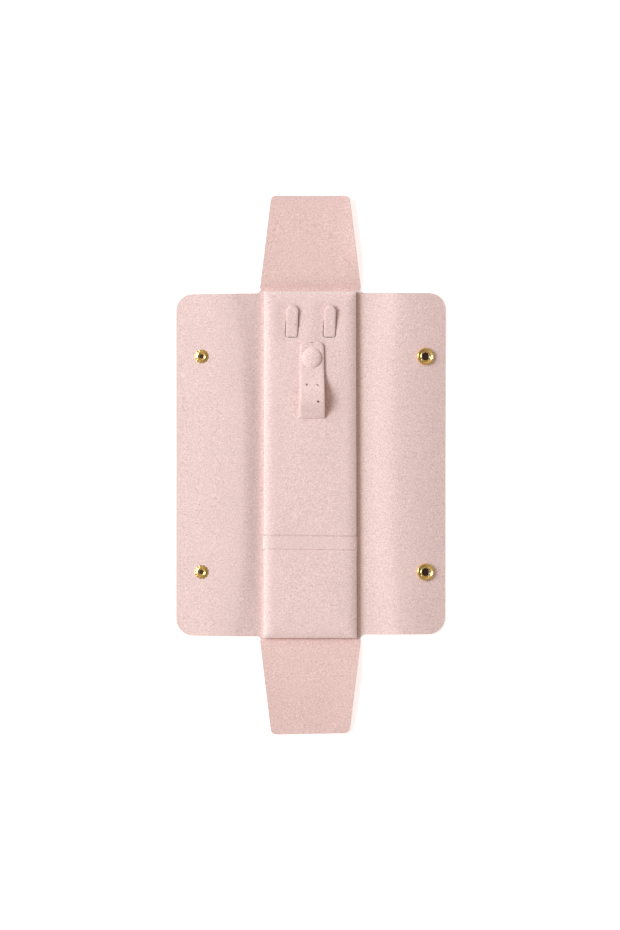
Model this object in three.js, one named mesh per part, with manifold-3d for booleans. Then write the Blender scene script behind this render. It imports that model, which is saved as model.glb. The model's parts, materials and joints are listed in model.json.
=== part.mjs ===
// Jewelry roll: a microsuede wrap with four folding flaps round a padded display board.
// Millimetres. The roll lies open on a table: +X is to the right, +Y runs up the roll, +Z is up.
// The origin is on the table under the middle of the board.

import * as THREE from 'three';
import { mergeVertices } from 'three/addons/utils/BufferGeometryUtils.js';
import Module from 'manifold-3d';

const wasm = await Module();
wasm.setup();

// Clearances
const SEAT = 0.1; // under a part that is pressed or glued on its seat
const CLEAR = 0.3; // round a part that passes through a hole or a slot
const FOLD_CLEAR = 0.15; // between the layers of the closed roll
const CREASE_CLEAR = 0.1; // between a crease and the sheet beside it

// Padded board
const PAD_WIDTH = 64;
const PAD_LENGTH = 240;
const COVER = 0.45;
const BOARD = 1.2;
const FOAM = 1.2;
const PAD_ROLL = 8; // how far in the rounded edge starts
const PAD_DROP = 1.2; // how far it falls
const HEM = 12; // width of cover turned under the board
const ROLL_STEPS = 5;

// Wrap sheet and the outline that it is cut to
const SHEET = 0.8;
const CREASE_GAP = 1.2; // from the board's edge to a crease
const SIDE_FLAP = 61.2; // from the board's side to a side flap's outer edge
const SIDE_REACH = PAD_WIDTH / 2 + SIDE_FLAP;
const SIDE_INSET = 2.7; // a side flap is shorter than the board by this at each end
const SIDE_SPAN = PAD_LENGTH - 2 * SIDE_INSET;
const SIDE_CORNER = 11.5;
const SIDE_WEB = 3; // fillet where a side flap leaves the back
const SIDE_WEB_START = 1.7;
const END_FLAP = 65.9; // from the board's end to an end flap's tip
const END_REACH = PAD_LENGTH / 2 + END_FLAP;
const END_OVERHANG = 3; // an end flap's root is wider than the board by this at each side
const END_TAPER = 8; // and its tip narrower than its root
const END_ROOT_WIDTH = PAD_WIDTH + 2 * END_OVERHANG;
const END_TIP_WIDTH = END_ROOT_WIDTH - 2 * END_TAPER;
const END_CORNER = 4;

// How the open flaps lie: the rise beside the board, and the height of the outer edge's middle
const LEFT_LIFT = THREE.MathUtils.degToRad(24);
const RIGHT_LIFT = THREE.MathUtils.degToRad(28);
const END_LIFT = THREE.MathUtils.degToRad(18);
const LEFT_EDGE_HEIGHT = 1.75;
const RIGHT_EDGE_HEIGHT = 0.55;
const TOP_EDGE_HEIGHT = 4.2;
const BOTTOM_EDGE_HEIGHT = 1;

// Retaining band across the board
const BAND = 0.4;
const BAND_WIDTH = 9.1;
const BAND_RISE = 65.8; // from the board's lower end
const BAND_Y = BAND_RISE - PAD_LENGTH / 2;
const BAND_TAIL = 8; // length turned under the board
const BAND_CLEAR = 0.15;

// Hook tabs for necklace chains
const TAB_SPACING = 24.8;
const TAB_DROP = 31.9; // from the board's upper end to a tab's root
const TAB_ROOT_Y = PAD_LENGTH / 2 - TAB_DROP;
const TAB_LENGTH = 21.4;
const TAB_WIDTH = 8;
const TAB_THICKNESS = 0.9;
const TAB_LEAN = THREE.MathUtils.degToRad(3);
const LEFT_TAB_LIFT = THREE.MathUtils.degToRad(4);
const RIGHT_TAB_LIFT = THREE.MathUtils.degToRad(5);

// Earring and ring strap: one strip folded to a loop at its lower end and snapped at its upper end
const STRAP_X = 1.2;
const STRAP_DROP = 36.1; // from the board's upper end
const STRAP_TOP_Y = PAD_LENGTH / 2 - STRAP_DROP;
const STRAP_LENGTH = 52.1;
const STRAP_WIDTH = 17.6;
const STRAP_CORNER = 3;
const LEG = 0.55;
const LOOP_RADIUS = 1.6; // outside of the fold at the lower end
const LOOP_RISE = 4.7; // top of the loop above the board
const LOOP_CREST = 12.5; // from the fold to the loop's top
const LOOP_END = 32; // from the fold to where the front leg lies flat
const FOLD_PULL = 0.7; // how full the loop's curve is at the fold, at its crest and where it lies flat
const CREST_PULL = 0.55;
const FLAT_PULL = 0.4;
const HINGE_GAP = 0.3; // slit at the outside of the fold
const EARRING_HOLE = 1.2;
const EARRING_SPACING = 7.4;
const EARRING_SIDES = 8;
const EARRING_ROWS = [11.4, 22.9]; // from the fold

// Covered button and its small snap
const BUTTON_DROP = 10.7; // from the strap's upper end
const BUTTON_DIAMETER = 14;
const BUTTON_HEIGHT = 1.5;
const BUTTON_FABRIC = 0.45;
const BUTTON_RIM = 0.55; // height of the button's upright rim
const STRAP_SNAP_GAP = 1.2; // between the strap's legs at the snap
const RIVET_RADIUS = 1;
const RIVET_PLATE_RADIUS = 3.5;
const RIVET_PLATE = 0.4;
const SMALL_FLANGE_RADIUS = 3.6;
const SMALL_FLANGE = 0.25;
const SMALL_KNOB_RADIUS = 1.5;
const SMALL_KNOB_HEIGHT = 0.65;
const SMALL_SOCKET_RADIUS = 4.6;
const SMALL_SOCKET_HEIGHT = 0.65;
const SMALL_SOCKET_PLATE = 0.25;

// Brass press studs that close the roll
const SNAP_INSET = 43; // from a side flap's end to a press stud
const SNAP_SPACING = SIDE_SPAN - 2 * SNAP_INSET;
const SNAP_CLOSED_X = -1;
const SNAP_GAP = 2.5; // between the closed side flaps
const SNAP_WALL = 0.3;
const EYELET_RADIUS = 4.85;
const EYELET_HEIGHT = 0.45;
const EYELET_EDGE = 0.12; // height of the flange's outer edge
const EYELET_SHOULDER = 0.32;
const EYELET_THROAT = 0.22; // height where the bore meets the flange
const EYELET_BORE = 1.5;
const EYELET_FACETS = 12;
const BARREL_RADIUS = 1.75;
const BARREL_PAST_SHEET = 1.4;
const STUD_FLANGE_RADIUS = 4.7;
const STUD_NECK_RADIUS = 2.2;
const STUD_KNOB_RADIUS = 2.6;
const STUD_HEIGHT = 1.85;
const STUD_KNOB = 0.45;
const SOCKET_RADIUS = 5.75;
const SOCKET_HEIGHT = 2.2;
const SOCKET_LIP_HEIGHT = 1.75;
const SOCKET_MOUTH_RADIUS = 2.75;
const SOCKET_WALL = 0.85;
const CAP_RADIUS = 6.25;
const CAP_HEIGHT = 1.2;
const CAP_RIM = 0.3;
const CAP_POST_RADIUS = 1.1;
const CAP_FLARE_RADIUS = 1.6;
const SPRING_WIRE = 0.4;
const SPRING_HALF_WIDTH = 2.5;
const SPRING_HEIGHT = 1.3;
const SPRING_LEG = 3.3; // from the middle to a leg's free end
const SPRING_BEND_Y = 1.9; // where the bend that joins the legs starts
const SPRING_STEPS = 24;
const ROUND_SIDES = 20;
const CURVE_STEPS = 6;
const WELD = 1e-4; // vertices closer than this are one

// Levels, from the table up
const PAD_BASE = SHEET + BAND;
const BOARD_BASE = PAD_BASE + COVER;
const FOAM_BASE = BOARD_BASE + BOARD;
const FOAM_TOP = FOAM_BASE + FOAM;
const PAD_TOP = FOAM_TOP + SEAT + COVER;
const BACK_LEG_BASE = PAD_TOP + SEAT;
const BACK_LEG_TOP = BACK_LEG_BASE + LEG;
const FRONT_LEG_BASE = BACK_LEG_TOP + STRAP_SNAP_GAP;
const FRONT_LEG_TOP = FRONT_LEG_BASE + LEG;
const BUTTON_TOP = FRONT_LEG_TOP + SEAT + BUTTON_HEIGHT;
const LOOP_TOP = PAD_TOP + LOOP_RISE;

// Upright part of each flap: the closed panel's inner face comes to rest at this height
const END_SPINE = BUTTON_TOP + FOLD_CLEAR;
const LEFT_SPINE = Math.max(
  END_SPINE + SHEET + SEAT + EYELET_HEIGHT + FOLD_CLEAR,
  LOOP_TOP + FOLD_CLEAR,
);
const RIGHT_SPINE = LEFT_SPINE + SHEET + SNAP_GAP;

// Creases round the board
const SIDE_CREASE = PAD_WIDTH / 2 + CREASE_GAP;
const END_CREASE = PAD_LENGTH / 2 + CREASE_GAP;
const CREASE_SETBACK = SHEET / 2 + CREASE_CLEAR;
const END_NECK_WIDTH = 2 * (SIDE_CREASE - SHEET / 2 - CLEAR); // passes between the closed side flaps

// Strap and button places
const FOLD_Y = STRAP_TOP_Y - STRAP_LENGTH;
const FOLD_CENTRE_Y = FOLD_Y + LOOP_RADIUS;
const FOLD_CENTRE_Z = BACK_LEG_BASE + LOOP_RADIUS;
const BUTTON_Y = STRAP_TOP_Y - BUTTON_DROP;

// Materials
const PINK = 0xebcec9;
const suede = () => new THREE.MeshStandardMaterial({ color: PINK, roughness: 0.95, metalness: 0 });
const brass = () => new THREE.MeshStandardMaterial({ color: 0xd9b266, roughness: 0.3, metalness: 1 });
const steel = () => new THREE.MeshStandardMaterial({ color: 0xb9bcc0, roughness: 0.35, metalness: 1 });
const greyBoard = () => new THREE.MeshStandardMaterial({ color: 0x9d968c, roughness: 0.9, metalness: 0 });
const foamRubber = () => new THREE.MeshStandardMaterial({ color: 0xf2efe6, roughness: 1, metalness: 0 });
const glueFilm = () => new THREE.MeshStandardMaterial({ color: 0xe9e4d4, roughness: 0.6, metalness: 0 });

const roll = new THREE.Group();

// Solids: a closed mesh with its shared vertices merged and its empty triangles dropped
function solid(geometry) {
  const bare = new THREE.BufferGeometry();
  bare.setAttribute('position', geometry.getAttribute('position'));
  bare.setIndex(geometry.index);
  const merged = mergeVertices(bare, WELD);
  const corners = merged.index.array;
  const triangles = [];
  for (let i = 0; i < corners.length; i += 3) {
    const [a, b, c] = corners.slice(i, i + 3);
    if (a !== b && b !== c && c !== a) triangles.push(a, b, c);
  }
  return new wasm.Manifold(new wasm.Mesh({
    numProp: 3,
    vertProperties: Float32Array.from(merged.getAttribute('position').array),
    triVerts: Uint32Array.from(triangles),
  }));
}

function geometryOf(manifold) {
  const mesh = manifold.getMesh();
  const geometry = new THREE.BufferGeometry();
  geometry.setAttribute('position', new THREE.BufferAttribute(mesh.vertProperties, 3));
  geometry.setIndex(new THREE.BufferAttribute(mesh.triVerts, 1));
  return geometry;
}

function cut(geometry, ...tools) {
  const rest = tools.reduce((left, tool) => left.subtract(solid(tool)), solid(geometry));
  return geometryOf(rest);
}

function common(geometry, tool) {
  return geometryOf(solid(geometry).intersect(solid(tool)));
}

// A flat plate in the XY plane with its middle at z = 0
function plate(shape, thickness) {
  const options = { depth: thickness, bevelEnabled: false, curveSegments: CURVE_STEPS };
  const geometry = new THREE.ExtrudeGeometry(shape, options);
  return geometry.translate(0, 0, -thickness / 2);
}

function box(width, length, low, high) {
  return new THREE.BoxGeometry(width, length, high - low).translate(0, 0, (low + high) / 2);
}

function rod(radius, low, high, sides = ROUND_SIDES) {
  const cylinder = new THREE.CylinderGeometry(radius, radius, high - low, sides);
  return cylinder.rotateX(Math.PI / 2).translate(0, 0, (low + high) / 2);
}

// A turned part from its [radius, height] profile, which runs anticlockwise
function turned(profile, sides = ROUND_SIDES) {
  const points = profile.map(([radius, height]) => new THREE.Vector2(radius, height));
  const onAxis = points[0].x === 0;
  if (!onAxis) points.push(points[0].clone());
  const lathe = new THREE.LatheGeometry(points, sides).rotateX(Math.PI / 2);
  return geometryOf(solid(lathe));
}

// A side view drawn as [y, z] and extruded along X, with its middle at x = 0
function sideProfile(points, width) {
  const shape = new THREE.Shape(points);
  const geometry = new THREE.ExtrudeGeometry(shape, { depth: width, bevelEnabled: false });
  const axes = new THREE.Matrix4().makeBasis(
    new THREE.Vector3(0, 1, 0),
    new THREE.Vector3(0, 0, 1),
    new THREE.Vector3(1, 0, 0),
  );
  return geometry.applyMatrix4(axes).translate(-width / 2, 0, 0);
}

// The closed outline of a strip that follows a centre line
function ribbon(centreLine, thickness) {
  const left = [];
  const right = [];
  centreLine.forEach((point, i) => {
    const before = centreLine[Math.max(i - 1, 0)];
    const after = centreLine[Math.min(i + 1, centreLine.length - 1)];
    const along = after.clone().sub(before).normalize();
    const across = new THREE.Vector2(-along.y, along.x).multiplyScalar(thickness / 2);
    left.push(point.clone().add(across));
    right.push(point.clone().sub(across));
  });
  return [...right, ...left.reverse()];
}

// Profile of a dome from the rim to the axis
function dome(rimRadius, rimHeight, height) {
  const points = [];
  for (let i = 0; i < CURVE_STEPS; i += 1) {
    const angle = (i / CURVE_STEPS) * (Math.PI / 2);
    points.push([rimRadius * Math.cos(angle), rimHeight + (height - rimHeight) * Math.sin(angle)]);
  }
  points.push([0, height]);
  return points;
}

function addPiece(parent, name, geometry, material, position = [0, 0, 0]) {
  const mesh = new THREE.Mesh(geometry, material);
  mesh.name = name;
  mesh.position.set(...position);
  parent.add(mesh);
  return mesh;
}

// Padded board

// A flat-topped cushion whose rounded edge falls by PAD_DROP over PAD_ROLL
function cushion(width, length, low, high) {
  const rolled = [];
  for (let i = 0; i <= ROLL_STEPS; i += 1) {
    const angle = (i / ROLL_STEPS) * (Math.PI / 2);
    rolled.push({ inset: PAD_ROLL * (1 - Math.cos(angle)), rise: Math.sin(angle) });
  }
  const stations = (half) => [
    ...rolled.map(({ inset, rise }) => ({ at: inset - half, rise })),
    ...rolled.toReversed().map(({ inset, rise }) => ({ at: half - inset, rise })),
  ];
  const columns = stations(width / 2);
  const rows = stations(length / 2);
  const positions = [];
  const indices = [];
  const topAt = (row, column) => row * columns.length + column;
  const baseStart = rows.length * columns.length;
  const baseAt = (row, column) => baseStart + topAt(row, column);
  for (const row of rows) {
    for (const column of columns) {
      positions.push(column.at, row.at, high - PAD_DROP * (1 - column.rise * row.rise));
    }
  }
  for (const row of rows) {
    for (const column of columns) positions.push(column.at, row.at, low);
  }
  const quad = (a, b, c, d) => indices.push(a, b, c, a, c, d);
  for (let r = 0; r + 1 < rows.length; r += 1) {
    for (let c = 0; c + 1 < columns.length; c += 1) {
      quad(topAt(r, c), topAt(r, c + 1), topAt(r + 1, c + 1), topAt(r + 1, c));
      quad(baseAt(r, c), baseAt(r + 1, c), baseAt(r + 1, c + 1), baseAt(r, c + 1));
    }
  }
  const lastRow = rows.length - 1;
  const lastColumn = columns.length - 1;
  for (let c = 0; c < lastColumn; c += 1) {
    quad(baseAt(0, c), baseAt(0, c + 1), topAt(0, c + 1), topAt(0, c));
    quad(baseAt(lastRow, c + 1), baseAt(lastRow, c), topAt(lastRow, c), topAt(lastRow, c + 1));
  }
  for (let r = 0; r < lastRow; r += 1) {
    quad(baseAt(r + 1, 0), baseAt(r, 0), topAt(r, 0), topAt(r + 1, 0));
    quad(baseAt(r, lastColumn), baseAt(r + 1, lastColumn), topAt(r + 1, lastColumn), topAt(r, lastColumn));
  }
  const geometry = new THREE.BufferGeometry();
  geometry.setAttribute('position', new THREE.Float32BufferAttribute(positions, 3));
  geometry.setIndex(indices);
  return geometryOf(solid(geometry));
}

const tabHeel = TAB_THICKNESS / 2;
const tabPlaces = [
  { name: 'left_hook_tab', x: -TAB_SPACING / 2, lift: LEFT_TAB_LIFT },
  { name: 'right_hook_tab', x: TAB_SPACING / 2, lift: RIGHT_TAB_LIFT },
];

function tabSlot({ x }) {
  const slot = box(TAB_WIDTH + 2 * CLEAR, 2 * (tabHeel + CLEAR), -2 * COVER, PAD_DROP);
  return slot.rotateZ(-TAB_LEAN).translate(x, TAB_ROOT_Y + tabHeel, PAD_TOP);
}

function addPaddedBoard() {
  const inside = 2 * COVER;
  const backWidth = 2 * (SIDE_CREASE - CREASE_SETBACK);
  const backLength = 2 * (END_CREASE - CREASE_SETBACK);
  addPiece(roll, 'back_panel', box(backWidth, backLength, 0, SHEET), suede());

  const hemOpening = box(PAD_WIDTH - 2 * HEM, PAD_LENGTH - 2 * HEM, 0, BOARD_BASE + BOARD / 2);
  const rivetHole = rod(RIVET_RADIUS + CLEAR, FOAM_TOP, PAD_TOP + COVER).translate(STRAP_X, BUTTON_Y, 0);
  const cover = cut(
    cushion(PAD_WIDTH, PAD_LENGTH, PAD_BASE, PAD_TOP),
    cushion(PAD_WIDTH - inside, PAD_LENGTH - inside, BOARD_BASE, PAD_TOP - COVER),
    hemOpening,
    rivetHole,
    ...tabPlaces.map(tabSlot),
  );
  addPiece(roll, 'pad_cover', cover, suede());

  const glueWidth = PAD_WIDTH - 2 * (HEM + CLEAR);
  const glueLength = PAD_LENGTH - 2 * (HEM + CLEAR);
  addPiece(roll, 'pad_adhesive', box(glueWidth, glueLength, SHEET, BOARD_BASE), glueFilm());

  const coreInset = 2 * (COVER + SEAT);
  const board = box(PAD_WIDTH - coreInset, PAD_LENGTH - coreInset, BOARD_BASE, FOAM_BASE);
  addPiece(roll, 'pad_board', board, greyBoard());

  const pocketFloor = FOAM_TOP - RIVET_PLATE - SEAT;
  const pocket = rod(RIVET_PLATE_RADIUS + CLEAR, pocketFloor, PAD_TOP).translate(STRAP_X, BUTTON_Y, 0);
  const foam = cut(cushion(PAD_WIDTH - coreInset, PAD_LENGTH - coreInset, FOAM_BASE, FOAM_TOP), pocket);
  addPiece(roll, 'pad_foam', foam, foamRubber());
}

// Retaining band: over the board, down its sides and under its edges

// The board's outline across X, moved out by an offset, from its left side over the top to its right
function boardOutline(offset) {
  const centreX = PAD_WIDTH / 2 - PAD_ROLL;
  const centreZ = PAD_TOP - PAD_DROP;
  const rightSide = [];
  for (let i = 0; i <= ROLL_STEPS; i += 1) {
    const angle = (1 - i / ROLL_STEPS) * (Math.PI / 2);
    const outward = new THREE.Vector2(Math.cos(angle) / PAD_ROLL, Math.sin(angle) / PAD_DROP).normalize();
    const edgeX = centreX + PAD_ROLL * Math.cos(angle);
    const edgeZ = centreZ + PAD_DROP * Math.sin(angle);
    rightSide.push(new THREE.Vector2(edgeX, edgeZ).addScaledVector(outward, offset));
  }
  const leftSide = rightSide.toReversed().map(({ x, y }) => new THREE.Vector2(-x, y));
  return [...leftSide, ...rightSide];
}

function addBand() {
  const inner = boardOutline(BAND_CLEAR);
  const outer = boardOutline(BAND_CLEAR + BAND);
  const innerSide = PAD_WIDTH / 2 + BAND_CLEAR;
  const outerSide = innerSide + BAND;
  const tailEnd = PAD_WIDTH / 2 - BAND_TAIL;
  const point = (x, z) => new THREE.Vector2(x, z);
  const section = new THREE.Shape([
    point(-tailEnd, SHEET),
    point(-tailEnd, PAD_BASE),
    point(-innerSide, PAD_BASE),
    ...inner,
    point(innerSide, PAD_BASE),
    point(tailEnd, PAD_BASE),
    point(tailEnd, SHEET),
    point(outerSide, SHEET),
    ...outer.toReversed(),
    point(-outerSide, SHEET),
  ]);
  const band = new THREE.ExtrudeGeometry(section, { depth: BAND_WIDTH, bevelEnabled: false });
  band.rotateX(Math.PI / 2).translate(0, BAND_Y + BAND_WIDTH / 2, 0);
  addPiece(roll, 'retaining_band', band, suede());
}

// Hook tabs: each rocks on a round heel in a slot of the cover, and its free end points up the roll
function addHookTab({ name, x, lift }) {
  const reach = TAB_LENGTH - tabHeel;
  const under = (y) => SEAT + (y - tabHeel) * Math.tan(lift);
  const rootTop = under(tabHeel) + TAB_THICKNESS;
  const outline = new THREE.Path();
  outline.absarc(0, 0, tabHeel, Math.PI, 2 * Math.PI, false);
  outline.lineTo(tabHeel, under(tabHeel));
  outline.lineTo(reach, under(reach));
  outline.lineTo(reach, under(reach) + TAB_THICKNESS);
  outline.lineTo(0, rootTop);
  outline.absarc(0, rootTop - tabHeel, tabHeel, Math.PI / 2, Math.PI, false);
  const side = outline.getPoints(CURVE_STEPS);
  const half = TAB_WIDTH / 2;
  const plan = new THREE.Shape();
  plan.moveTo(-half, -TAB_WIDTH);
  plan.lineTo(half, -TAB_WIDTH);
  plan.lineTo(half, reach - half);
  plan.absarc(0, reach - half, half, 0, Math.PI, false);
  plan.lineTo(-half, -TAB_WIDTH);
  const tab = common(sideProfile(side, 2 * TAB_WIDTH), plate(plan, 2 * TAB_LENGTH));
  const mesh = addPiece(roll, name, tab, suede(), [x, TAB_ROOT_Y + tabHeel, PAD_TOP]);
  mesh.rotation.z = -TAB_LEAN;
}

// Strap: the back leg lies on the board, turns up at the fold, and the front leg comes back over it
function strapPlan() {
  const half = STRAP_WIDTH / 2;
  const plan = new THREE.Shape();
  plan.moveTo(-half, FOLD_Y - STRAP_WIDTH);
  plan.lineTo(half, FOLD_Y - STRAP_WIDTH);
  plan.lineTo(half, STRAP_TOP_Y - STRAP_CORNER);
  plan.absarc(half - STRAP_CORNER, STRAP_TOP_Y - STRAP_CORNER, STRAP_CORNER, 0, Math.PI / 2, false);
  plan.lineTo(STRAP_CORNER - half, STRAP_TOP_Y);
  plan.absarc(STRAP_CORNER - half, STRAP_TOP_Y - STRAP_CORNER, STRAP_CORNER, Math.PI / 2, Math.PI, false);
  plan.lineTo(-half, FOLD_Y - STRAP_WIDTH);
  return plate(plan, 4 * LOOP_TOP);
}

function strapLeg(centreLine, holes) {
  const sideView = ribbon(centreLine.getPoints(CURVE_STEPS), LEG);
  const strip = common(sideProfile(sideView, 2 * STRAP_WIDTH), strapPlan());
  return cut(strip, ...holes).translate(STRAP_X, 0, 0);
}

function addStrap() {
  const middle = LOOP_RADIUS - LEG / 2;
  const slit = HINGE_GAP / 2;
  const postHole = rod(RIVET_RADIUS + CLEAR, 0, BUTTON_TOP).translate(0, BUTTON_Y, 0);

  const back = new THREE.Path();
  back.moveTo(STRAP_TOP_Y, BACK_LEG_BASE + LEG / 2);
  back.lineTo(FOLD_CENTRE_Y, BACK_LEG_BASE + LEG / 2);
  const slitAngle = Math.asin(slit / middle);
  back.absarc(FOLD_CENTRE_Y, FOLD_CENTRE_Z, middle, -Math.PI / 2, slitAngle - Math.PI, true);
  addPiece(roll, 'strap_back_leg', strapLeg(back, [postHole]), suede());

  const crestY = FOLD_Y + LOOP_CREST;
  const crestZ = LOOP_TOP - LEG / 2;
  const flatY = FOLD_Y + LOOP_END;
  const flatZ = FRONT_LEG_BASE + LEG / 2;
  const startY = FOLD_Y + LEG / 2;
  const startZ = FOLD_CENTRE_Z + slit;
  const front = new THREE.Path();
  front.moveTo(startY, startZ);
  front.bezierCurveTo(
    startY,
    startZ + (crestZ - startZ) * FOLD_PULL,
    crestY - (crestY - startY) * CREST_PULL,
    crestZ,
    crestY,
    crestZ,
  );
  const easing = (flatY - crestY) * FLAT_PULL;
  front.bezierCurveTo(crestY + easing, crestZ, flatY - easing, flatZ, flatY, flatZ);
  front.lineTo(STRAP_TOP_Y, flatZ);
  const earringHoles = EARRING_ROWS.flatMap((row) => [-1, 1].map((side) => {
    const hole = rod(EARRING_HOLE / 2, BACK_LEG_TOP, 2 * LOOP_TOP, EARRING_SIDES);
    return hole.translate((side * EARRING_SPACING) / 2, FOLD_Y + row, 0);
  }));
  addPiece(roll, 'strap_front_leg', strapLeg(front, [postHole, ...earringHoles]), suede());
}

// Covered button on the front leg, and the small snap under it
function addButton() {
  const radius = BUTTON_DIAMETER / 2;
  const shellRadius = radius - BUTTON_FABRIC - SEAT;
  const shellHeight = BUTTON_HEIGHT - BUTTON_FABRIC - SEAT;
  const fabric = turned([
    ...dome(radius - BUTTON_FABRIC, BUTTON_RIM, BUTTON_HEIGHT - BUTTON_FABRIC).toReversed(),
    [radius - BUTTON_FABRIC, 0],
    [radius, 0],
    ...dome(radius, BUTTON_RIM, BUTTON_HEIGHT),
  ]);
  const buttonSeat = [STRAP_X, BUTTON_Y, FRONT_LEG_TOP + SEAT];
  addPiece(roll, 'button_cover', fabric, suede(), buttonSeat);

  const postLength = SEAT + LEG + SEAT + SMALL_SOCKET_PLATE;
  const shell = turned([
    [0, -postLength],
    [RIVET_RADIUS, -postLength],
    [RIVET_RADIUS, 0],
    [shellRadius, 0],
    ...dome(shellRadius, BUTTON_RIM, shellHeight),
  ]);
  addPiece(roll, 'button_shell', shell, steel(), buttonSeat);

  const plateBase = -SMALL_SOCKET_PLATE;
  const mouth = SMALL_KNOB_RADIUS + CLEAR;
  const socket = turned([
    [RIVET_RADIUS + SEAT, 0],
    [RIVET_RADIUS + SEAT, plateBase],
    [mouth, plateBase],
    [mouth, -SMALL_SOCKET_HEIGHT],
    [SMALL_SOCKET_RADIUS, -SMALL_SOCKET_HEIGHT],
    [SMALL_SOCKET_RADIUS, 0],
  ]);
  addPiece(roll, 'strap_socket', socket, brass(), [STRAP_X, BUTTON_Y, FRONT_LEG_BASE - SEAT]);

  const plateTop = FOAM_TOP;
  const studBase = BACK_LEG_TOP + SEAT;
  const studPost = studBase - plateTop - SEAT;
  const neck = SMALL_KNOB_RADIUS - SEAT;
  const stud = turned([
    [0, -studPost],
    [RIVET_RADIUS, -studPost],
    [RIVET_RADIUS, 0],
    [SMALL_FLANGE_RADIUS, 0],
    [SMALL_FLANGE_RADIUS, SMALL_FLANGE],
    [neck, SMALL_FLANGE],
    [SMALL_KNOB_RADIUS, (SMALL_FLANGE + SMALL_KNOB_HEIGHT) / 2],
    [neck, SMALL_KNOB_HEIGHT],
    [0, SMALL_KNOB_HEIGHT],
  ]);
  addPiece(roll, 'strap_stud', stud, brass(), [STRAP_X, BUTTON_Y, studBase]);

  const rivetPlate = rod(RIVET_PLATE_RADIUS, plateTop - RIVET_PLATE, plateTop);
  addPiece(roll, 'strap_rivet_plate', rivetPlate, steel(), [STRAP_X, BUTTON_Y, 0]);
}

// Flaps: a spine that rises from the crease beside the board, and a panel beyond a second crease
function addFlap({ name, turn, crease, spine, spineShape, lift, reach, edgeHeight, panelShape, holes = [] }) {
  const side = new THREE.Group();
  side.rotation.z = turn;
  roll.add(side);

  const spineGroup = new THREE.Group();
  spineGroup.position.set(crease, 0, SHEET / 2);
  spineGroup.rotation.y = -lift;
  side.add(spineGroup);
  addPiece(spineGroup, `${name}_spine`, plate(spineShape, SHEET), suede());

  const foldAt = crease + spine * Math.cos(lift);
  const fall = SHEET / 2 + spine * Math.sin(lift) - edgeHeight;
  const slope = Math.atan2(fall, reach - foldAt);
  const run = reach - (SHEET / 2) * Math.abs(Math.sin(slope)) - foldAt;
  const panelGroup = new THREE.Group();
  panelGroup.position.set(spine, 0, 0);
  panelGroup.rotation.y = lift + Math.atan2(fall, run);
  spineGroup.add(panelGroup);
  const panel = cut(plate(panelShape(Math.hypot(run, fall)), SHEET), ...holes);
  addPiece(panelGroup, `${name}_flap`, panel, suede());
  return panelGroup;
}

// Side spine, with a fillet at each end of its root that runs into the back
function sideSpineShape(spine) {
  const half = SIDE_SPAN / 2;
  const far = spine - CREASE_SETBACK;
  const fillet = SIDE_WEB_START + SIDE_WEB;
  const shape = new THREE.Shape();
  shape.moveTo(CREASE_CLEAR, -half - SIDE_WEB);
  shape.lineTo(SIDE_WEB_START, -half - SIDE_WEB);
  shape.absarc(fillet, -half - SIDE_WEB, SIDE_WEB, Math.PI, Math.PI / 2, true);
  shape.lineTo(far, -half);
  shape.lineTo(far, half);
  shape.lineTo(fillet, half);
  shape.absarc(fillet, half + SIDE_WEB, SIDE_WEB, -Math.PI / 2, -Math.PI, true);
  shape.lineTo(CREASE_CLEAR, half + SIDE_WEB);
  return shape;
}

function sidePanelShape(length) {
  const half = SIDE_SPAN / 2;
  const shape = new THREE.Shape();
  shape.moveTo(CREASE_CLEAR, -half);
  shape.lineTo(length - SIDE_CORNER, -half);
  shape.absarc(length - SIDE_CORNER, SIDE_CORNER - half, SIDE_CORNER, -Math.PI / 2, 0, false);
  shape.lineTo(length, half - SIDE_CORNER);
  shape.absarc(length - SIDE_CORNER, half - SIDE_CORNER, SIDE_CORNER, 0, Math.PI / 2, false);
  shape.lineTo(CREASE_CLEAR, half);
  return shape;
}

function endSpineShape() {
  const far = END_SPINE - CREASE_SETBACK;
  const shape = new THREE.Shape();
  shape.moveTo(CREASE_CLEAR, -END_ROOT_WIDTH / 2);
  shape.lineTo(far, -END_NECK_WIDTH / 2);
  shape.lineTo(far, END_NECK_WIDTH / 2);
  shape.lineTo(CREASE_CLEAR, END_ROOT_WIDTH / 2);
  return shape;
}

function endPanelShape(length) {
  const root = END_NECK_WIDTH / 2;
  const tip = END_TIP_WIDTH / 2;
  const taper = Math.atan2(root - tip, length);
  const shape = new THREE.Shape();
  const side = END_CORNER * Math.tan(Math.PI / 4 - taper / 2); // from the sharp corner to the round
  shape.moveTo(CREASE_CLEAR, -root);
  shape.lineTo(length - side * Math.cos(taper), -tip - side * Math.sin(taper));
  shape.quadraticCurveTo(length, -tip, length, side - tip);
  shape.lineTo(length, tip - side);
  shape.quadraticCurveTo(length, tip, length - side * Math.cos(taper), tip + side * Math.sin(taper));
  shape.lineTo(CREASE_CLEAR, root);
  return shape;
}

// Snap distances from a side flap's second crease, so that both halves meet over the board
const LEFT_SNAP = SIDE_CREASE + SNAP_CLOSED_X;
const RIGHT_SNAP = SIDE_CREASE - SNAP_CLOSED_X;

const snapRows = [
  { level: 'upper', y: SNAP_SPACING / 2 },
  { level: 'lower', y: -SNAP_SPACING / 2 },
];

function snapHoles(distance, radius) {
  return snapRows.map(({ y }) => rod(radius, -SHEET, SHEET).translate(distance, y, 0));
}

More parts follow.
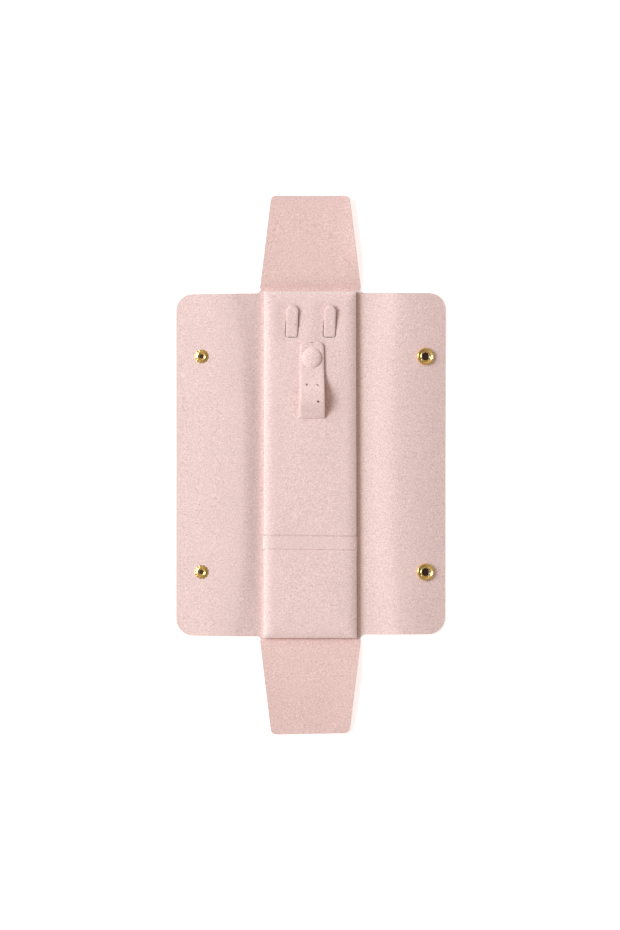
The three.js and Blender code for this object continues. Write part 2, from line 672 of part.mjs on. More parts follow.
// Eyelet on the inner face, with its barrel through the sheet
function eyelet() {
  const barrelEnd = -SEAT - SHEET - BARREL_PAST_SHEET;
  return turned([
    [EYELET_BORE, barrelEnd],
    [BARREL_RADIUS, barrelEnd],
    [BARREL_RADIUS, 0],
    [EYELET_RADIUS, 0],
    [EYELET_RADIUS, EYELET_EDGE],
    [EYELET_RADIUS - SNAP_WALL, EYELET_SHOULDER],
    [(EYELET_RADIUS + BARREL_RADIUS) / 2, EYELET_HEIGHT],
    [BARREL_RADIUS + SNAP_WALL, EYELET_HEIGHT],
    [EYELET_BORE, EYELET_THROAT],
  ], EYELET_FACETS);
}

// Stud on the outer face, set round the eyelet's barrel
function stud() {
  const bore = BARREL_RADIUS + FOLD_CLEAR;
  const knobBase = STUD_HEIGHT - STUD_KNOB;
  const bevel = STUD_KNOB / 4;
  return turned([
    [bore, 0],
    [STUD_FLANGE_RADIUS, 0],
    [STUD_FLANGE_RADIUS, SNAP_WALL],
    [STUD_NECK_RADIUS, SNAP_WALL],
    [STUD_NECK_RADIUS, knobBase],
    [STUD_KNOB_RADIUS, knobBase + bevel],
    [STUD_KNOB_RADIUS, STUD_HEIGHT - bevel],
    [STUD_KNOB_RADIUS - bevel, STUD_HEIGHT],
    [bore, STUD_HEIGHT],
  ]);
}

// Socket on the inner face: a floor, a wall, and a dished lip round its mouth
function socket() {
  const floorBore = CAP_POST_RADIUS + FOLD_CLEAR;
  const wallInside = SOCKET_RADIUS - SOCKET_WALL;
  const rimRadius = SOCKET_RADIUS - SOCKET_WALL / 2;
  const lipUnder = SOCKET_LIP_HEIGHT - SNAP_WALL / 2;
  return turned([
    [floorBore, 0],
    [rimRadius, 0],
    [SOCKET_RADIUS, SNAP_WALL],
    [SOCKET_RADIUS, SOCKET_LIP_HEIGHT],
    [rimRadius + SNAP_WALL / 2, SOCKET_HEIGHT - SNAP_WALL / 3],
    [rimRadius, SOCKET_HEIGHT],
    [wallInside, SOCKET_HEIGHT - SNAP_WALL / 2],
    [(wallInside + SOCKET_MOUTH_RADIUS) / 2, SOCKET_LIP_HEIGHT],
    [SOCKET_MOUTH_RADIUS + SNAP_WALL, SOCKET_LIP_HEIGHT + SNAP_WALL / 3],
    [SOCKET_MOUTH_RADIUS, SOCKET_LIP_HEIGHT],
    [SOCKET_MOUTH_RADIUS, lipUnder],
    [wallInside, lipUnder],
    [wallInside, SNAP_WALL],
    [floorBore, SNAP_WALL],
  ]);
}

// Cap on the outer face, riveted through the sheet and the socket's floor
function cap() {
  const flareBase = SHEET + 2 * SEAT + SNAP_WALL + SEAT;
  const flareTop = flareBase + SNAP_WALL / 2;
  const boreRadius = CAP_POST_RADIUS - SNAP_WALL;
  return turned([
    ...dome(CAP_RADIUS, -CAP_RIM, -CAP_HEIGHT).toReversed(),
    [CAP_RADIUS, 0],
    [CAP_POST_RADIUS, 0],
    [CAP_POST_RADIUS, flareBase],
    [CAP_FLARE_RADIUS, flareBase],
    [CAP_FLARE_RADIUS, flareTop],
    [boreRadius, flareTop],
    [boreRadius, SNAP_WALL],
    [0, SNAP_WALL],
  ]);
}

// Spring in the socket: a wire hairpin whose legs grip the stud's neck
function spring() {
  const at = (x, y) => new THREE.Vector3(x, y, SPRING_HEIGHT);
  const corners = [at(SPRING_HALF_WIDTH, -SPRING_LEG)];
  for (let i = 0; i <= 2 * CURVE_STEPS; i += 1) {
    const angle = (i / (2 * CURVE_STEPS)) * Math.PI;
    const bendY = SPRING_BEND_Y + SPRING_HALF_WIDTH * Math.sin(angle);
    corners.push(at(SPRING_HALF_WIDTH * Math.cos(angle), bendY));
  }
  corners.push(at(-SPRING_HALF_WIDTH, -SPRING_LEG));
  const route = new THREE.CurvePath();
  corners.slice(1).forEach((corner, i) => route.add(new THREE.LineCurve3(corners[i], corner)));
  const section = new THREE.Shape();
  section.absarc(0, 0, SPRING_WIRE / 2, 0, 2 * Math.PI, false);
  const options = { extrudePath: route, steps: SPRING_STEPS, curveSegments: CURVE_STEPS };
  const coil = new THREE.ExtrudeGeometry(section, options);
  return geometryOf(solid(coil));
}

function addFlaps() {
  const leftPanel = addFlap({
    name: 'left',
    turn: Math.PI,
    crease: SIDE_CREASE,
    spine: LEFT_SPINE,
    spineShape: sideSpineShape(LEFT_SPINE),
    lift: LEFT_LIFT,
    reach: SIDE_REACH,
    edgeHeight: LEFT_EDGE_HEIGHT,
    panelShape: sidePanelShape,
    holes: snapHoles(LEFT_SNAP, BARREL_RADIUS + FOLD_CLEAR),
  });
  const rightPanel = addFlap({
    name: 'right',
    turn: 0,
    crease: SIDE_CREASE,
    spine: RIGHT_SPINE,
    spineShape: sideSpineShape(RIGHT_SPINE),
    lift: RIGHT_LIFT,
    reach: SIDE_REACH,
    edgeHeight: RIGHT_EDGE_HEIGHT,
    panelShape: sidePanelShape,
    holes: snapHoles(RIGHT_SNAP, CAP_POST_RADIUS + FOLD_CLEAR),
  });
  const endFlap = { crease: END_CREASE, spine: END_SPINE, lift: END_LIFT, reach: END_REACH };
  const endShapes = { spineShape: endSpineShape(), panelShape: endPanelShape };
  addFlap({ name: 'top', turn: Math.PI / 2, edgeHeight: TOP_EDGE_HEIGHT, ...endFlap, ...endShapes });
  addFlap({ name: 'bottom', turn: -Math.PI / 2, edgeHeight: BOTTOM_EDGE_HEIGHT, ...endFlap, ...endShapes });

  const innerFace = SHEET / 2 + SEAT;
  for (const { level, y } of snapRows) {
    addPiece(leftPanel, `${level}_eyelet`, eyelet(), brass(), [LEFT_SNAP, -y, innerFace]);
    const studPiece = addPiece(leftPanel, `${level}_stud`, stud(), brass(), [LEFT_SNAP, -y, -innerFace]);
    studPiece.rotation.x = Math.PI;
    addPiece(rightPanel, `${level}_socket`, socket(), brass(), [RIGHT_SNAP, y, innerFace]);
    addPiece(rightPanel, `${level}_spring`, spring(), steel(), [RIGHT_SNAP, y, innerFace]);
    addPiece(rightPanel, `${level}_cap`, cap(), brass(), [RIGHT_SNAP, y, -innerFace]);
  }
}

addPaddedBoard();
addBand();
tabPlaces.forEach(addHookTab);
addStrap();
addButton();
addFlaps();

export default roll;
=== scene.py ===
"""Looks of the jewelry roll: microsuede wrap, padded board, hook tabs, strap and brass press studs.

Lengths are in millimetres until a mesh is made. The roll lies open on a pale floor and is seen from above.
"""

import json
import math

import bmesh
import bpy
import numpy as np
from mathutils import Matrix, Vector, noise


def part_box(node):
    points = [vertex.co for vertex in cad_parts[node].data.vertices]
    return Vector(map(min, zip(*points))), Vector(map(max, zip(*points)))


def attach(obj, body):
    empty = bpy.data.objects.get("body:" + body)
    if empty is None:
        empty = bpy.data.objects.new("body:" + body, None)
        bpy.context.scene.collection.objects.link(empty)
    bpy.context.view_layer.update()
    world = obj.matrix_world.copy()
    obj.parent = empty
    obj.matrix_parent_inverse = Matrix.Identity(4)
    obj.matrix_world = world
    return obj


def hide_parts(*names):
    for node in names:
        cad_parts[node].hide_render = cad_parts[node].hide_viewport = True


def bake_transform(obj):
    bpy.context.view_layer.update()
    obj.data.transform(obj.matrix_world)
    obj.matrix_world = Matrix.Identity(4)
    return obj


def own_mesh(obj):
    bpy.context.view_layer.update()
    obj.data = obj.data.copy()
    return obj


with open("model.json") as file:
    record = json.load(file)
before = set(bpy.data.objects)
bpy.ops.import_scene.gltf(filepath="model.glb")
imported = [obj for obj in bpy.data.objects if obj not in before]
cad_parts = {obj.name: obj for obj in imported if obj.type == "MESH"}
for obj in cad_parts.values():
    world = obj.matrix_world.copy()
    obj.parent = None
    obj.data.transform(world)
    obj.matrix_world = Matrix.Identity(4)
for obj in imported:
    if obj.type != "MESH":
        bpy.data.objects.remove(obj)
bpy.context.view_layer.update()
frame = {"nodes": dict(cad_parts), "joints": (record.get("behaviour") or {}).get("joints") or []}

MM = 0.001
JOINTS = {joint["name"]: joint for joint in frame["joints"]}
SHARP_ANGLE = math.radians(40)
MERGE = 1e-7  # metres, between points that are one
TINY = 1e-9  # keeps a division safe
FAR = 1000  # an edge that is too far off to matter
LEAST_FLAT = 10  # least width for a narrow sheet; the band's code pairs it with the band's length but doesn't use the pair

# Wrap sheet
SHEET = 0.8
WORN = 0.18  # how far a cut edge is rubbed back
RUB_START = 0.8  # a flap's long edges are rubbed from here out
SEAM_BACK = 12  # from a crease in to the seam under the board
BEND = 2.6  # half the width of sheet that turns at a crease
SIDE_HALF = 117.65
SIDE_ROOT_HALF = 121.05
SIDE_CORNER = 11.3
SIDE_WEB = 4.2  # run of the rounded web beside an end flap
SIDE_WEB_START = 1.2
END_ROOT_HALF = 34.9
END_SLOPE = 0.122  # how fast an end flap narrows
END_CORNER = 4
SIDE_WAVES = 0.22  # gentle unevenness of the lying flaps
END_WAVES = 0.1
WAVE_LENGTH = 34
WAVE_LAYER = 3.7  # which layer of the noise is taken
LOOSE_RUN = 20  # past its second crease a flap lies free from here on
SWAY_START = 0.5
SWAY_RUN = 4  # over which a sway or a flare builds up
FAN_RISE = 20  # how far out a bend's fanning is full
FAN_FADE = 35  # and how much further it is gone

# Rows and columns of the wrap's sheets
HIDDEN_STEP = 2.4  # under the board
BEND_STEP = 0.6  # at the first crease
WEB_STEP = 0.5
FOLD_STEP = 0.7  # at the second crease, and a little past its bend
PAST_FOLD = 2
PANEL_STEP = 2.2
SIDE_FIRST_ROW = 0.15  # just outside the crease
END_FIRST_ROW = 0.05
WEB_GAP = 0.1  # from the last straight row to the web
SIDE_COLUMNS = 97
END_COLUMNS = 33

# How the open flaps lie: (distance out from the crease, height, slope), joined by smooth curves
LEFT_CURVE = [(-2.5, 0.4, 0), (7, 2.35, 0.31), (14, 3.65, 0.02), (60, 1.5, -0.06)]
RIGHT_CURVE = [(2, 0.4, 0), (26, 4.1, 0), (60, 0.42, -0.18)]
TOP_CURVE = [(-2, 0.4, 0), (1.5, 1.2, 0.45), (10, 3.3, 0.08), (30, 3.7, 0.01), (64.7, 4.25, 0.02)]
BOTTOM_CURVE = [(-2, 0.4, 0), (1.5, 1.2, 0.45), (10, 2.9, 0.09), (34, 4.2, 0), (64.7, 1.8, -0.13)]

# Padded board
PAD_RAISE = 0.8  # how far the stuffed cover stands above its plain solid
PAD_ROLL = 8
PAD_DROP = 1.5
PAD_CURVE = 2.4  # how late the rounded edge falls
PAD_INSET = np.array([-0.05, 0.76])  # of the cover's edges from its plain solid
PAD_SHIFT = -0.38  # of its middle along the roll
PAD_TAPER = 0.016  # share by which its upper end is narrower
PAD_CORNER = 0.6
PAD_BASE = 1.05
PAD_SIDE = [(0.12, 0.15), (0.15, 0.6), (0.15, 1.7)]  # (out, down) from the top's edge
PAD_STEP = 2
PAD_EDGE_STEPS = [0, 0.25, 0.6, 1.1, 1.8, 2.8, 4.2, 6]
PAD_LINE_GAP = 0.8  # least distance of a plain grid line from a trough's
SWELL = 0.4
SWELL_FRAMES = 16
SWELL_QUALITY = 6
SWELL_STIFFNESS = 40
SWELL_PRESSURE = 1.5
HELD_EDGE = 3  # the cover can't rise this near its edge, a tab's opening or the snap
HELD_WINDOW = 1.5
HELD_SNAP = 3.5
FOAM_INSET = 9
FOAM_BELOW = 0.7  # from the pad's top down to the foam
BOARD_INSET = 1

# Hook tabs
TAB_X = {"left": -12.9, "right": 13.2}  # at the hinge
TAB_LEAN = {"left": math.radians(2.3), "right": math.radians(1.4)}
TAB_RISE = {"left": 1.2, "right": 1.9}  # over its curl, which would run on past the free end
TAB_CURL_START = 2
TAB_CURL = 24
TAB_EMERGE = 8.5  # length over which it comes up out of its opening
TAB_WIDTH = 8
TAB_LENGTH = 21.4
TAB_THICKNESS = 0.9
TAB_CORNER = 1.5
TAB_ROOT = -0.85  # of the tab's lower end along its length from the hinge
TAB_SUNK = 0.7  # how far its lower end lies below the pad's top
TAB_PILLOW = 0.35  # how far its long edges are rounded down
TAB_PILLOW_POWER = 6  # and how near the edge that starts
TAB_COLUMNS = 15
ROW_TURN = 3  # degrees left off a round end, so that no row shrinks to a point
TAB_WORN = 0.42
WINDOW_LOW = -1.3
WINDOW_CORNER = 2.0
WINDOW_LEFT = [(0.6, 5), (0.4, 9.5), (-0.5, 14)]  # (gap beside the tab, place along it)
WINDOW_RIGHT = [(0.55, 8), (0.35, 15), (-0.5, 18.5)]
WINDOW_FLOOR = 2.95
WINDOW_TOP = 10  # well above the pad
FOAM_FLOOR = WINDOW_FLOOR - 1  # so that the foam's floor isn't level with the cover's
DIMPLE = 0.45
DIMPLE_REACH = 4.5

# Strap, with heights above the pad
STRAP_X = 1.1
STRAP_WIDTH = 16.2
STRAP_SPREAD = 0.01  # how fast it widens towards its fold
STRAP_TOP = 83.9
STRAP_CORNER = 3.8
STRAP_SHEET = 0.7
STRAP_WORN = 0.45
STRAP_FOLD = 31.8
STRAP_CREST = 44.3
STRAP_FLAT = 65.5
STRAP_CREST_RISE = 6.8
STRAP_FOLD_RISE = 1.1
STRAP_PILLOW = 0.4  # how far its long edges are rounded down
STRAP_PILLOW_POWER = 16
STRAP_FOLD_PULL = (5, 2.6)  # how full the loop's curve is at its fold, at its crest and where it lies flat
STRAP_CREST_PULL = 4
STRAP_FLAT_PULL = 0.5  # share of the run
STRAP_CURVE_STEPS = 15
STRAP_FRONT_STEP = 1.6
STRAP_BACK_STEP = 3
STRAP_COLUMNS = 21
STRAP_FRONT_RISE = 1.1
STRAP_BACK_RISE = 0.4
STRAP_SLOPE = 0.02  # of its upper end down to the pad
STRAP_SKEW = math.tan(math.radians(0.5))
STRAP_BACK_SKEW = math.tan(math.radians(-0.6))
EARRING_HOLES = [  # (from the strap's middle, up the roll, half length, half width, turn)
    (-3.75, 54.8, 0.7, 0.7, 0),
    (3.6, 54.65, 0.95, 0.4, -40),
    (-3.5, 43.4, 0.42, 0.42, 0),
    (4.0, 43.1, 0.8, 0.8, 0),
]
HOLE_SIDES = 20
HOLE_SHADE_MARGIN = 0.15  # of a hole's disc of painted shade past its edge
HOLE_SHADE_DEPTH = 0.2

# Button and band
BUTTON_Y = 73.2
BUTTON_TILT = math.radians(2.8)
BUTTON_SUNK = 0.15
BUTTON = [
    (0, 1.7), (1.6, 1.67), (3.2, 1.56), (4.6, 1.34), (5.7, 1.02), (6.5, 0.62), (6.9, 0.3), (7, 0), (0, 0),
]
BUTTON_INSIDE = [(0, 0.1), (5, 0.1), (5, 0.4), (0, 0.5)]
BAND_Y = -54.2
BAND_WIDTH = 8.9
BAND = 0.45
BAND_TILT = math.tan(math.radians(-0.75))
BAND_DENT = 0.6  # how far it presses into the pad
BAND_CLEAR = 0.05
BAND_FOOT = 0.2  # of its ends above the pad's base
BAND_DOWN = [(0, 2.0), (-0.1, 3.0)]  # (out, height) of its turned-down ends
BAND_STEP = 4
BAND_COLUMNS = 7
TROUGH_FLOOR = 0.3  # past the band's edge
TROUGH_WALL = 0.7
TROUGH_STEPS = [-0.5, 0, 0.3, 0.5, 0.75, 1.0, 1.4]
TROUGH_REACH = 4  # how far past the band the pad's grid lines lean with it
TROUGH_EDGE = 0.1  # but not this near the pad's edge

# Press studs
SCALLOPS = 12
PETAL_START = 2.9  # radius where the notches between petals start
PETAL_RUN = 1.9
NOTCH_IN = 0.06  # share of the radius
NOTCH_DOWN = 0.75  # share of the height

# Light and camera, with lengths in metres: a soft key from the left, and a fill that is brighter there and
# dimmer overhead
KEY_POWER = 93
KEY_DISTANCE = 3.5
KEY_RADIUS = 0.95
KEY_HEIGHT = 40
KEY_TURN = 14
KEY_COLOUR = (0.95, 1.08, 1.18)
FILL = 0.64
FILL_COLOUR = (1.0, 0.875, 0.79, 1)
FLOOR_GLOW = 0.5
SKY_LEVEL = 1.25
SKY_LEAN = (-0.73, 0.17, -0.55)
FLOOR_SIZE = 30
CAMERA_PLACE = (-0.00017, -0.00052, 3)
SENSOR = 24  # millimetres
VIEW_HEIGHT = 0.6417  # of what the picture shows at the floor

# Suede and metal: specks to the metre, detail, roughness and strength
GRAIN = (1500, 1, 0.5, 0.85)
SPECKS = (650, 2, 0.55, 0.3)
PATCHES = (45, 2, 0.5, 0.06)
BRUSHING = (900, 2, 0.5, 1.0)


def pivot(name):
    """A joint's place in millimetres."""
    return np.array(JOINTS[name]["pos_m"]) / MM


def corners(name):
    """Lowest and highest corner of a node in millimetres."""
    low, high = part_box(name)
    return np.array(low) / MM, np.array(high) / MM


# Materials


def material_with_shader(name):
    material = bpy.data.materials.new(name)
    material.use_nodes = True
    return material, material.node_tree, material.node_tree.nodes["Principled BSDF"]


def maths(tree, operation, first, second):
    """A maths node; each input is a number or a socket."""
    made = tree.nodes.new("ShaderNodeMath")
    made.operation = operation
    for socket, value in zip(made.inputs, (first, second)):
        if isinstance(value, (int, float)):
            socket.default_value = value
        else:
            tree.links.new(value, socket)
    return made.outputs[0]


def speckle(tree, place, scale, detail, roughness, strength):
    """Noise about zero, at a number of specks per metre."""
    made = tree.nodes.new("ShaderNodeTexNoise")
    made.inputs["Scale"].default_value = scale
    made.inputs["Detail"].default_value = detail
    made.inputs["Roughness"].default_value = roughness
    tree.links.new(place, made.inputs["Vector"])
    centred = maths(tree, "SUBTRACT", made.outputs["Fac"], 0.5)
    return maths(tree, "MULTIPLY", centred, strength)


def raised(tree, height, shader, strength, distance):
    """Fine relief on a shader from a height socket."""
    bump = tree.nodes.new("ShaderNodeBump")
    bump.inputs["Strength"].default_value = strength
    bump.inputs["Distance"].default_value = distance
    tree.links.new(height, bump.inputs["Height"])
    tree.links.new(bump.outputs["Normal"], shader.inputs["Normal"])


def ramp(tree, socket, start, end):
    """A number that rises smoothly from 0 at start to 1 at end."""
    made = tree.nodes.new("ShaderNodeMapRange")
    made.interpolation_type = "SMOOTHSTEP"
    tree.links.new(socket, made.inputs["Value"])
    made.inputs["From Min"].default_value = start
    made.inputs["From Max"].default_value = end
    return made.outputs["Result"]


def suede(name, colour, edges=()):
    """Brushed microsuede: a matt nap with fine specks and faint patches.

    Each edge is (axis, start, end) in millimetres: a painted highlight makes the colour paler from start to
    end.
    """
    material, tree, shader = material_with_shader(name)
    place = tree.nodes.new("ShaderNodeTexCoord").outputs["Object"]
    grain = speckle(tree, place, *GRAIN)
    specks = speckle(tree, place, *SPECKS)
    patches = speckle(tree, place, *PATCHES)
    shade = maths(tree, "ADD", maths(tree, "ADD", grain, specks), maths(tree, "ADD", patches, 1.0))
    tint = tree.nodes.new("ShaderNodeVectorMath")
    tint.operation = "SCALE"
    tint.inputs[0].default_value = colour
    # painted highlight: the colour turns paler towards these edges
    if edges:
        tree.links.new(painted_edge_highlight(tree, place, colour, edges), tint.inputs[0])
    tree.links.new(shade, tint.inputs["Scale"])
    tree.links.new(tint.outputs[0], shader.inputs["Base Color"])
    shader.inputs["Roughness"].default_value = 0.95
    shader.inputs["Specular IOR Level"].default_value = 0.12
    shader.inputs["Sheen Weight"].default_value = 0.6
    shader.inputs["Sheen Roughness"].default_value = 0.45
    shader.inputs["Sheen Tint"].default_value = (1.0, 0.95, 0.93, 1)
    raised(tree, grain, shader, 0.4, 0.0004)
    return material


def painted_edge_highlight(tree, place, colour, edges):
    """A colour made paler towards some edges: a painted highlight."""
    axes = tree.nodes.new("ShaderNodeSeparateXYZ")
    tree.links.new(place, axes.inputs[0])
    share = 0.0
    for axis, start, end in edges:
        share = maths(tree, "MAXIMUM", share, ramp(tree, axes.outputs[axis], start * MM, end * MM))
    blend = tree.nodes.new("ShaderNodeMix")
    blend.data_type = "VECTOR"
    tree.links.new(share, blend.inputs["Factor"])
    blend.inputs[4].default_value = colour
    blend.inputs[5].default_value = [value * more for value, more in zip(colour, EDGE_HIGHLIGHT_TINT)]
    return blend.outputs[1]


def metal(name, colour, roughness):
    material, tree, shader = material_with_shader(name)
    place = tree.nodes.new("ShaderNodeTexCoord").outputs["Object"]
    shader.inputs["Base Color"].default_value = (*colour, 1)
    shader.inputs["Metallic"].default_value = 1
    shader.inputs["Roughness"].default_value = roughness
    raised(tree, speckle(tree, place, *BRUSHING), shader, 0.12, 0.0002)
    return material


def plain(name, colour, roughness):
    material, _, shader = material_with_shader(name)
    shader.inputs["Base Color"].default_value = (*colour, 1)
    shader.inputs["Roughness"].default_value = roughness
    return material


def glowing(name, colour, strength):
    """A matt surface that is a little bright by itself."""
    material = plain(name, colour, 0.9)
    shader = material.node_tree.nodes["Principled BSDF"]
    shader.inputs["Emission Color"].default_value = (*colour, 1)
    shader.inputs["Emission Strength"].default_value = strength
    return material


# Painted highlight: the pad's suede turns this much paler towards its left and upper edges, which face the
# key light.
EDGE_HIGHLIGHT_TINT = (1.0, 1.1, 1.1)
PAD_HIGHLIGHT_EDGES = [("X", -26.5, -31), ("Y", 116, 119)]
WRAP_SUEDE = suede("wrap suede", (0.81, 0.605, 0.572))
PAD_SUEDE = suede("pad suede with painted highlight", (0.817, 0.609, 0.577), PAD_HIGHLIGHT_EDGES)
# Painted shade: dark discs inside the strap's pierced holes.
HOLE_SHADE = plain("painted hole shade", (0.25, 0.1, 0.09), 0.9)
STRAP_SUEDE = suede("strap suede", (0.83, 0.621, 0.589))
# Painted shade: the end flaps are the same wrap suede as the side flaps, made darker.
SHADED_END_SUEDE = suede("end suede with painted shade", (0.795, 0.564, 0.524))
BRASS = metal("brass", (0.80, 0.56, 0.19), 0.18)
STEEL = metal("steel", (0.55, 0.55, 0.56), 0.3)
# Painted shade: a near-black metal for the floors inside the studs' holes.
STUD_HOLE_SHADE = metal("stud hole shade", (0.10, 0.06, 0.05), 0.35)
# Foam in a darker, redder pink than the cover; where it shows in the tabs' openings its colour also stands
# for the shade there.
FOAM_WITH_SHADE = plain("foam", (0.72, 0.44, 0.39), 1)
BOARD = plain("grey board", (0.30, 0.25, 0.23), 0.9)
GLUE = plain("adhesive", (0.75, 0.7, 0.6), 0.6)


# Meshes


def soften(made):
    """Merges double points, turns the faces outward and shades them smooth away from sharp edges."""
    shape = bmesh.new()
    shape.from_mesh(made.data)
    bmesh.ops.remove_doubles(shape, verts=shape.verts, dist=MERGE)
    bmesh.ops.recalc_face_normals(shape, faces=shape.faces)
    if shape.calc_volume(signed=True) < 0:
        bmesh.ops.reverse_faces(shape, faces=shape.faces)
    for face in shape.faces:
        face.smooth = True
    for edge in shape.edges:
        edge.smooth = len(edge.link_faces) == 2 and edge.calc_face_angle() < SHARP_ANGLE
    shape.to_mesh(made.data)
    shape.free()


def mesh_object(name, points, faces, material):
    """A mesh from points in millimetres."""
    mesh = bpy.data.meshes.new(name)
    mesh.from_pydata((np.asarray(points, float) * MM).tolist(), [], faces)
    mesh.materials.append(material)
    made = bpy.data.objects.new(name, mesh)
    bpy.context.scene.collection.objects.link(made)
    soften(made)
    return made


def ring(grid):
    """The points round the edge of a grid, in order."""
    return np.concatenate([grid[0, :-1], grid[:-1, -1], grid[-1, :0:-1], grid[:0:-1, 0]])


def quads(a, b, c, d):
    return np.stack([a, b, c, d], axis=-1).reshape(-1, 4).tolist()


def slab(name, top, bottom, rims, material):
    """A closed piece between a top and a bottom grid, with any rims between their edges."""
    rows, columns = top.shape[:2]
    count = rows * columns
    index = np.arange(count).reshape(rows, columns)
    edge = ring(index)
    loops = [edge]
    loops += [2 * count + k * len(edge) + np.arange(len(edge)) for k in range(len(rims))]
    loops.append(edge + count)
    cells = (index[:-1, :-1], index[:-1, 1:], index[1:, 1:], index[1:, :-1])
    faces = quads(*cells) + quads(*[cell + count for cell in reversed(cells)])
    for upper, lower in zip(loops, loops[1:]):
        faces += quads(upper, lower, np.roll(lower, -1), np.roll(upper, -1))
    points = np.concatenate([top.reshape(-1, 3), bottom.reshape(-1, 3), *rims])
    return mesh_object(name, points, faces, material)


def unit(vectors):
    return vectors / np.maximum(np.linalg.norm(vectors, axis=-1, keepdims=True), TINY)


def cloth_sheet(name, middle, thickness, material, seams=(), worn=WORN, rubbed=1.0):
    """A suede sheet about its middle surface. Cut edges are rubbed round; seams at its start or end aren't.

    rubbed is the share of the rubbing on the long edges, one number or one for each row.
    """
    normal = unit(np.cross(np.gradient(middle, axis=0), np.gradient(middle, axis=1)))
    share = np.broadcast_to(np.asarray(rubbed, float), len(middle))[:, None]
    inward = np.zeros_like(middle)
    if "start" not in seams:
        inward[0] += unit(middle[1] - middle[0])
    if "end" not in seams:
        inward[-1] += unit(middle[-2] - middle[-1])
    inward[:, 0] += unit(middle[:, 1] - middle[:, 0]) * share
    inward[:, -1] += unit(middle[:, -2] - middle[:, -1]) * share
    top = middle + normal * thickness / 2 + inward * worn
    bottom = middle - normal * thickness / 2 + inward * worn
    return slab(name, top, bottom, [ring(middle)], material)


def prism(name, outline, low, high, material=PAD_SUEDE):
    """An upright block with a given outline."""
    count = len(outline)
    points = [(x, y, z) for z in (low, high) for x, y in outline]
    around = np.arange(count)
    faces = quads(around, np.roll(around, -1), np.roll(around, -1) + count, around + count)
    faces += [list(reversed(range(count))), list(range(count, 2 * count))]
    return mesh_object(name, points, faces, material)


def applied(made):
    """Makes an object's modifiers part of its mesh."""
    shape = made.evaluated_get(bpy.context.evaluated_depsgraph_get())
    mesh = bpy.data.meshes.new_from_object(shape)
    made.modifiers.clear()
    made.data = mesh


def carve(made, tools, solver="EXACT"):
    """Cuts tools out of an object and removes them."""
    for tool in tools:
        cut = made.modifiers.new("carve", "BOOLEAN")
        cut.object = tool
        cut.solver = solver
    applied(made)
    for tool in tools:
        bpy.data.objects.remove(tool)
    soften(made)


def turned(name, profile, sides, place, material, slot, ripple=None):
    """A round part from its [radius, height] profile, which runs all the way round its section."""
    angles = np.linspace(0, 2 * math.pi, sides, endpoint=False)
    profile = np.array(profile, float)
    radius = np.repeat(profile[:, :1], sides, axis=1)
    height = np.repeat(profile[:, 1:], sides, axis=1)
    if ripple:
        radius, height = ripple(radius, height, angles[None, :])
    points = np.stack([radius * np.cos(angles), radius * np.sin(angles), height], axis=-1)
    index = np.arange(points[..., 0].size).reshape(len(profile), sides)
    below, beside = np.roll(index, -1, axis=0), np.roll(index, -1, axis=1)
    faces = quads(index, beside, np.roll(below, -1, axis=1), below)
    flat = points.reshape(-1, 3) @ np.array(place.to_3x3()).T + np.array(place.translation)
    return mesh_object(name, flat, faces, material)


def ease(value):
    """A smooth step from 0 to 1."""
    value = np.clip(value, 0, 1)
    return value * value * (3 - 2 * value)


def waves(x, y):
    """Gentle unevenness about zero over the plan."""
    places = [Vector((a / WAVE_LENGTH, b / WAVE_LENGTH, WAVE_LAYER)) for a, b in zip(x.flat, y.flat)]
    return np.reshape([noise.noise(place) for place in places], x.shape)


def length_of(line):
    """Length along a line of points."""
    return float(np.linalg.norm(np.diff(line, axis=0), axis=1).sum())


# Wrap


def curve(knots, out):
    """A smooth curve through knots of (distance, height, slope), level before the first and past the last."""
    height = np.full(np.shape(out), knots[0][1], float)
    for (near, low, rise), (far, high, fall) in zip(knots, knots[1:]):
        span = far - near
        t = np.clip((out - near) / span, 0, 1)
        part = ease(1 - t) * low + ease(t) * high
        part += span * t * (1 - t) * ((1 - t) * rise - t * fall)
        height = np.where(out >= near, part, height)
    return height


